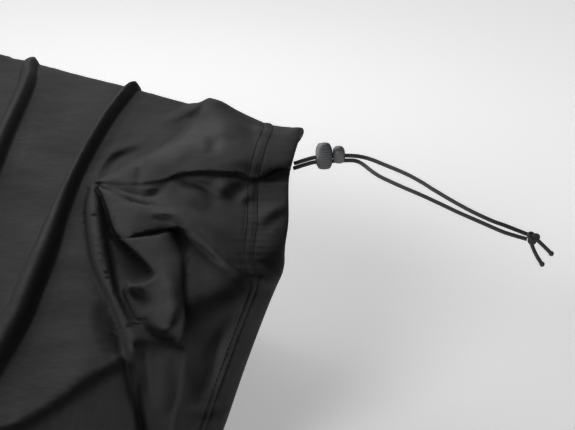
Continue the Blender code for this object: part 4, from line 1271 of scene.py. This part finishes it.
class LockSettings(PropertyGroup):
    """Sizes and colour of the cord lock."""

    rib_depth: length_setting("Rib depth", "Depth of the drum's grip ribs", 0.0007)
    rib_pitch: length_setting("Rib pitch", "Distance from one rib to the next", 0.0014)
    colour: colour_setting("Plastic colour", "Colour of the moulded plastic", (0.11, 0.113, 0.118))
    roughness: number_setting("Roughness", "Roughness of the plastic", 0.36, 1.0)


class StageSettings(PropertyGroup):
    """The camera, the lights and the floor."""

    camera_distance: length_setting("Camera distance", "Distance from the camera to the cover", 11.0)
    view_width: length_setting("View width", "Width of what the camera frames", 0.31944)
    floor_colour: colour_setting("Floor colour", "Colour of the plain floor", (0.96, 0.96, 0.96))
    floor_glow: number_setting("Floor glow", "Even light given off by the floor", 0.38, 2.0)
    ambient: number_setting("Ambient", "Strength of the even light", 0.02, 5.0)
    key: number_setting("Key", "Power of the low light at the left, in watts", 40.0, 200.0)
    top: number_setting("Top", "Power of the high light behind, in watts", 2.5, 200.0)
    side: number_setting("Side", "Power of the near light at the left, in watts", 0.3, 200.0)
    back: number_setting("Back", "Power of the near light behind, in watts", 0.6, 200.0)
    fill: number_setting("Fill", "Power of the light in front, in watts", 20.0, 200.0)


# Operators


class DUSTCOVER_OT_camera(Operator):
    """Place the camera on the sight line of the folds"""

    bl_idname = "dustcover.camera"
    bl_label = "Camera"

    def execute(self, context):
        settings = context.scene.dustcover_stage
        data = bpy.data.cameras.new("camera")
        data.sensor_width = SENSOR_WIDTH
        data.lens = SENSOR_WIDTH * settings.camera_distance / settings.view_width
        data.clip_start = 0.1
        data.clip_end = 100.0
        data.dof.use_dof = False
        camera = linked("camera", data)
        across, up, toward = VIEW_MIDDLE
        middle = CORNER + ACROSS * across + UPWARD * up + TOWARD * toward
        eye = Vector(middle * MM) + Vector(TOWARD) * settings.camera_distance
        turn = Matrix((ACROSS, UPWARD, TOWARD)).transposed().to_4x4()
        camera.matrix_world = Matrix.Translation(eye) @ turn
        context.scene.camera = camera
        return {"FINISHED"}


class DUSTCOVER_OT_cords(Operator):
    """Run the drawcord's two strands, their tails and the knot"""

    bl_idname = "dustcover.cords"
    bl_label = "Drawcord and knot"

    def strand(self, name, node, route, material, settings, tail):
        size = radius = settings.diameter / 2 / MM
        path = spaced(smooth_line(route, steps=10), 0.5 if tail else 0.9, width=3)
        if tail:
            run = np.linalg.norm(path - path[-1], axis=1)
            bead = settings.bead / MM
            swell = np.sqrt(np.clip(1 - ((run - bead) / bead) ** 2, 0, 1)) * bead
            size = np.maximum(swell, np.where(run < bead, 0.25, radius))
        mesh = tube_mesh(name, path, size, settings.sides)
        cord = add_object(name, mesh, material)
        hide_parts(node)
        return cord, path

    def execute(self, context):
        settings = context.scene.dustcover_cord
        material = cord_material("drawcord_braid", tuple(settings.colour))
        parts = {
            name: self.strand(name, node, route, material, settings, tail)
            for name, node, route, tail in (
                ("braided_upper", "drawcord_upper", UPPER_STRAND, False),
                ("braided_lower", "drawcord_lower", LOWER_STRAND, False),
                ("tail_end_upper", "tail_upper", UPPER_TAIL, True),
                ("tail_end_lower", "tail_lower", LOWER_TAIL, True),
            )
        }
        turns = np.linspace(0, 2 * math.pi, 120, endpoint=False)
        x, y = (np.sin(turns) + 2 * np.sin(2 * turns), np.cos(turns) - 2 * np.cos(2 * turns))
        loop = np.column_stack((x, y, -1.15 * np.sin(3 * turns)))
        turn = Matrix.Identity(3)
        for degrees, axis in KNOT_TURNS:
            turn = turn @ Matrix.Rotation(math.radians(degrees), 3, axis)
        path = KNOT_AT + (loop * KNOT_SCALE) @ np.array(turn).T
        radius = settings.diameter / 2 / MM * KNOT_SWELL
        mesh = tube_mesh("tied_knot", path, radius, settings.sides, closed=True)
        knot = add_object("tied_knot", mesh, material)
        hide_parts("cord_knot")
        for name, with_pieces in (
            ("braided_upper", (knot, parts["tail_end_upper"][0])),
            ("braided_lower", (parts["tail_end_lower"][0],)),
        ):
            cord, path = parts[name]
        return {"FINISHED"}


class DUSTCOVER_OT_lock(Operator):
    """Make the cord lock's ribbed drum and its button, with the slot through both"""

    bl_idname = "dustcover.lock"
    bl_label = "Cord lock"

    def execute(self, context):
        settings = context.scene.dustcover_lock
        material = moulded_material("lock_plastic", tuple(settings.colour), settings.roughness)
        turn = Matrix.Rotation(LOCK_TURN, 4, "Z")
        slot = add_object("lock_slot", rounded_form("lock_slot", SLOT_SIZE, SLOT_POWER, 24, 32), material)
        slot.matrix_world = Matrix.Translation(SLOT_AT) @ turn
        for name, node, size, rings, rib in (
            ("ribbed_drum", "lock_body", DRUM_SIZE, 150, settings.rib_depth / MM),
            ("lock_plunger", "lock_button", BUTTON_SIZE, 48, 0.0),
        ):
            low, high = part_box(node)
            mesh = rounded_form(name, size, LOCK_POWER, rings, 72, rib, settings.rib_pitch / MM)
            piece = add_object(name, mesh, material)
            piece.matrix_world = Matrix.Translation((low + high) / 2) @ turn
            hole = piece.modifiers.new("slot", "BOOLEAN")
            hole.operation = "DIFFERENCE"
            hole.solver = "EXACT"
            hole.object = slot
            context.view_layer.update()
            cut = bpy.data.meshes.new_from_object(piece.evaluated_get(context.evaluated_depsgraph_get()))
            piece.modifiers.clear()
            cut.transform(piece.matrix_world)
            piece.matrix_world = Matrix.Identity(4)
            piece.data = cut
            cut.shade_smooth()
            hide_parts(node)
        bpy.data.objects.remove(slot, do_unlink=True)
        return {"FINISHED"}


class DUSTCOVER_OT_cloth(Operator):
    """Lay the cloth over the form with its folds, creases and rolled casing"""

    bl_idname = "dustcover.cloth"
    bl_label = "Cloth"

    def execute(self, context):
        settings = context.scene.dustcover_sheet
        cut, faces, line, on_hem = cut_mesh(
            settings.fold_step / MM, settings.ridge_step / MM, settings.plain_step / MM
        )
        place, through = place_cloth(cut)
        off, along = hem_place(cut, line, on_hem)
        out, thick = casing_profile(off, along, settings.lip_radius / MM)
        place = CORNER + place + through * out[:, None]
        mesh = bpy.data.meshes.new("draped_cloth")
        mesh.from_pydata([tuple(row) for row in place * MM], [], [tuple(face) for face in faces])
        sheet = bmesh.new()
        sheet.from_mesh(mesh)
        sheet.normal_update()
        inward = sheet.verts.layers.float_vector.new("inward")
        layer = sheet.loops.layers.uv.new("cut")
        sheet.verts.ensure_lookup_table()
        for vertex, way, depth in zip(sheet.verts, through, thick):
            way = Vector(way)
            vertex[inward] = way * (-depth * MM / max(vertex.normal.dot(way), THINNEST_SHARE))
        for face in sheet.faces:
            for loop in face.loops:
                loop[layer].uv = cut[loop.vert.index] * MM
        # The far side is the sheet copied inward by its thickness, joined round the hem
        inner = bmesh.ops.extrude_face_region(sheet, geom=sheet.faces[:], use_keep_orig=True)
        for vertex in inner["geom"]:
            if isinstance(vertex, bmesh.types.BMVert):
                vertex.co += vertex[inward]
        sheet.verts.layers.float_vector.remove(inward)
        order_faces(sheet, on_hem)
        bmesh.ops.recalc_face_normals(sheet, faces=sheet.faces[:])
        sheet.to_mesh(mesh)
        sheet.free()
        material = cloth_material("charcoal_stretch_knit", tuple(settings.colour), settings.roughness)
        cloth = add_object("draped_cloth", mesh, material)
        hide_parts("cover_cloth")
        return {"FINISHED"}


class DUSTCOVER_OT_stitches(Operator):
    """Sew the casing's two rows of stitches into their grooves"""

    bl_idname = "dustcover.stitches"
    bl_label = "Casing stitches"

    def execute(self, context):
        settings = context.scene.dustcover_sheet
        line = cut_line()
        inward = inward_of(line, 3)
        rows = [spaced(line + inward * groove, settings.stitch_pitch / MM, closed=True) for groove in GROOVES]
        middles = np.vstack(rows)
        headings = np.vstack([np.roll(row, -1, axis=0) - np.roll(row, 1, axis=0) for row in rows])
        headings /= np.linalg.norm(headings, axis=1)[:, None]
        half = settings.stitch_length / MM / 2
        normal = outward(middles)
        _, through = place_cloth(middles)
        sunk = through * -GROOVE_DEPTH * STITCH_SINK
        rows = []
        for share, _ in STITCH_ROWS:
            spot, _ = place_cloth(middles + headings * half * share)
            rows.append(spot + sunk + normal * (STITCH_BASE + STITCH_ARCH * (1 - share * share)))
        rows = np.array(rows).transpose(1, 0, 2) + CORNER
        thread = settings.thread_radius / MM
        points = []
        faces = []
        sides = STITCH_SIDES
        last = len(STITCH_ROWS) - 1
        for stitch, up in zip(rows, normal):
            heading = stitch[-1] - stitch[0]
            heading /= np.linalg.norm(heading)
            side = np.cross(heading, up)
            side /= np.linalg.norm(side)
            base = len(points)
            for spot, (_, size) in zip(stitch, STITCH_ROWS):
                for k in range(sides):
                    turn = 2 * math.pi * k / sides
                    points.append(spot + (side * math.cos(turn) + up * math.sin(turn)) * thread * size)
            for i in range(last):
                for k in range(sides):
                    m = (k + 1) % sides
                    corners = (i * sides + k, i * sides + m, (i + 1) * sides + m, (i + 1) * sides + k)
                    faces.append(tuple(base + corner for corner in corners))
            faces.append(tuple(base + k for k in range(sides))[::-1])
            faces.append(tuple(base + last * sides + k for k in range(sides)))
        mesh = bpy.data.meshes.new("casing_stitches")
        mesh.from_pydata([tuple(point * MM) for point in points], [], faces)
        shape = bmesh.new()
        shape.from_mesh(mesh)
        bmesh.ops.recalc_face_normals(shape, faces=shape.faces[:])
        shape.to_mesh(mesh)
        shape.free()
        material = thread_material("sewing_thread", tuple(settings.thread_colour))
        add_object("casing_stitches", mesh, material)
        return {"FINISHED"}


class DUSTCOVER_OT_stage(Operator):
    """Set the plain floor and the soft studio lights"""

    bl_idname = "dustcover.stage"
    bl_label = "Studio"

    def execute(self, context):
        settings = context.scene.dustcover_stage
        shape = bmesh.new()
        bmesh.ops.create_grid(shape, x_segments=1, y_segments=1, size=FLOOR_HALF)
        mesh = bpy.data.meshes.new("floor")
        shape.to_mesh(mesh)
        shape.free()
        floor = linked("floor", mesh)
        floor.location.z = CAD_BOX[0][2] - FLOOR_GAP
        material, nodes, shader = new_material("plain_floor", 0.9)
        shade = nodes.mix(nodes.noise(nodes.place(), 3.0), *tones(settings.floor_colour, 0.99, 1.0))
        nodes.join(shade, shader.inputs["Base Color"])
        shader.inputs["Emission Color"].default_value = (1.0, 1.0, 1.0, 1.0)
        shader.inputs["Emission Strength"].default_value = settings.floor_glow
        mesh.materials.append(material)
        world = bpy.data.worlds.new("studio")
        context.scene.world = world
        world.use_nodes = True
        background = world.node_tree.nodes["Background"].inputs
        background["Color"].default_value = (1, 1, 1, 1)
        background["Strength"].default_value = settings.ambient
        aim = Vector(CORNER * MM) + Vector(LIGHT_AIM)
        for name, azimuth, rise, far, size in LIGHTS:
            turn = Matrix.Rotation(math.radians(azimuth), 3, "Z") @ Matrix.Rotation(math.radians(-rise), 3, "Y")
            light = bpy.data.lights.new(name, "AREA")
            light.shape = "DISK"
            light.size = size
            light.energy = getattr(settings, name)
            lamp = linked(name, light)
            lamp.location = aim + turn @ Vector((far, 0.0, 0.0))
            lamp.rotation_euler = (aim - lamp.location).to_track_quat("-Z", "Y").to_euler()
        context.scene.view_settings.view_transform = "Standard"
        return {"FINISHED"}


class DUSTCOVER_PT_panel(Panel):
    """Lists the pieces that can be made"""

    bl_idname = "DUSTCOVER_PT_panel"
    bl_label = "Dust cover"
    bl_space_type = "VIEW_3D"
    bl_region_type = "UI"
    bl_category = "Dust cover"

    def draw(self, context):
        for operator in OPERATORS:
            self.layout.operator(operator.bl_idname)
        for _, name, _ in SETTINGS:
            group = getattr(context.scene, name)
            box = self.layout.box()
            for label in group.bl_rna.properties.keys():
                if label not in ("rna_type", "name"):
                    box.prop(group, label)


OPERATORS = (
    DUSTCOVER_OT_camera,
    DUSTCOVER_OT_cords,
    DUSTCOVER_OT_lock,
    DUSTCOVER_OT_stitches,
    DUSTCOVER_OT_cloth,
    DUSTCOVER_OT_stage,
)
SETTINGS = (
    (ClothSettings, "dustcover_sheet", "Sizes and colours of the sheet"),
    (CordSettings, "dustcover_cord", "Sizes and colour of the drawcord"),
    (LockSettings, "dustcover_lock", "Sizes and colour of the cord lock"),
    (StageSettings, "dustcover_stage", "Camera, lights and floor"),
)


def register():
    """Register the settings, the operators and the panel."""
    for group, name, description in SETTINGS:
        bpy.utils.register_class(group)
        setattr(bpy.types.Scene, name, PointerProperty(type=group, description=description))
    for operator in OPERATORS:
        bpy.utils.register_class(operator)
    bpy.utils.register_class(DUSTCOVER_PT_panel)


def unregister():
    """Remove the panel, the operators and the settings."""
    bpy.utils.unregister_class(DUSTCOVER_PT_panel)
    for operator in reversed(OPERATORS):
        bpy.utils.unregister_class(operator)
    for group, name, _ in reversed(SETTINGS):
        delattr(bpy.types.Scene, name)
        bpy.utils.unregister_class(group)


def main():
    """Make every piece."""
    register()
    bpy.ops.dustcover.camera()
    bpy.ops.dustcover.cords()
    bpy.ops.dustcover.lock()
    bpy.ops.dustcover.stitches()
    bpy.ops.dustcover.cloth()
    bpy.ops.dustcover.stage()


if __name__ == "__main__":
    main()
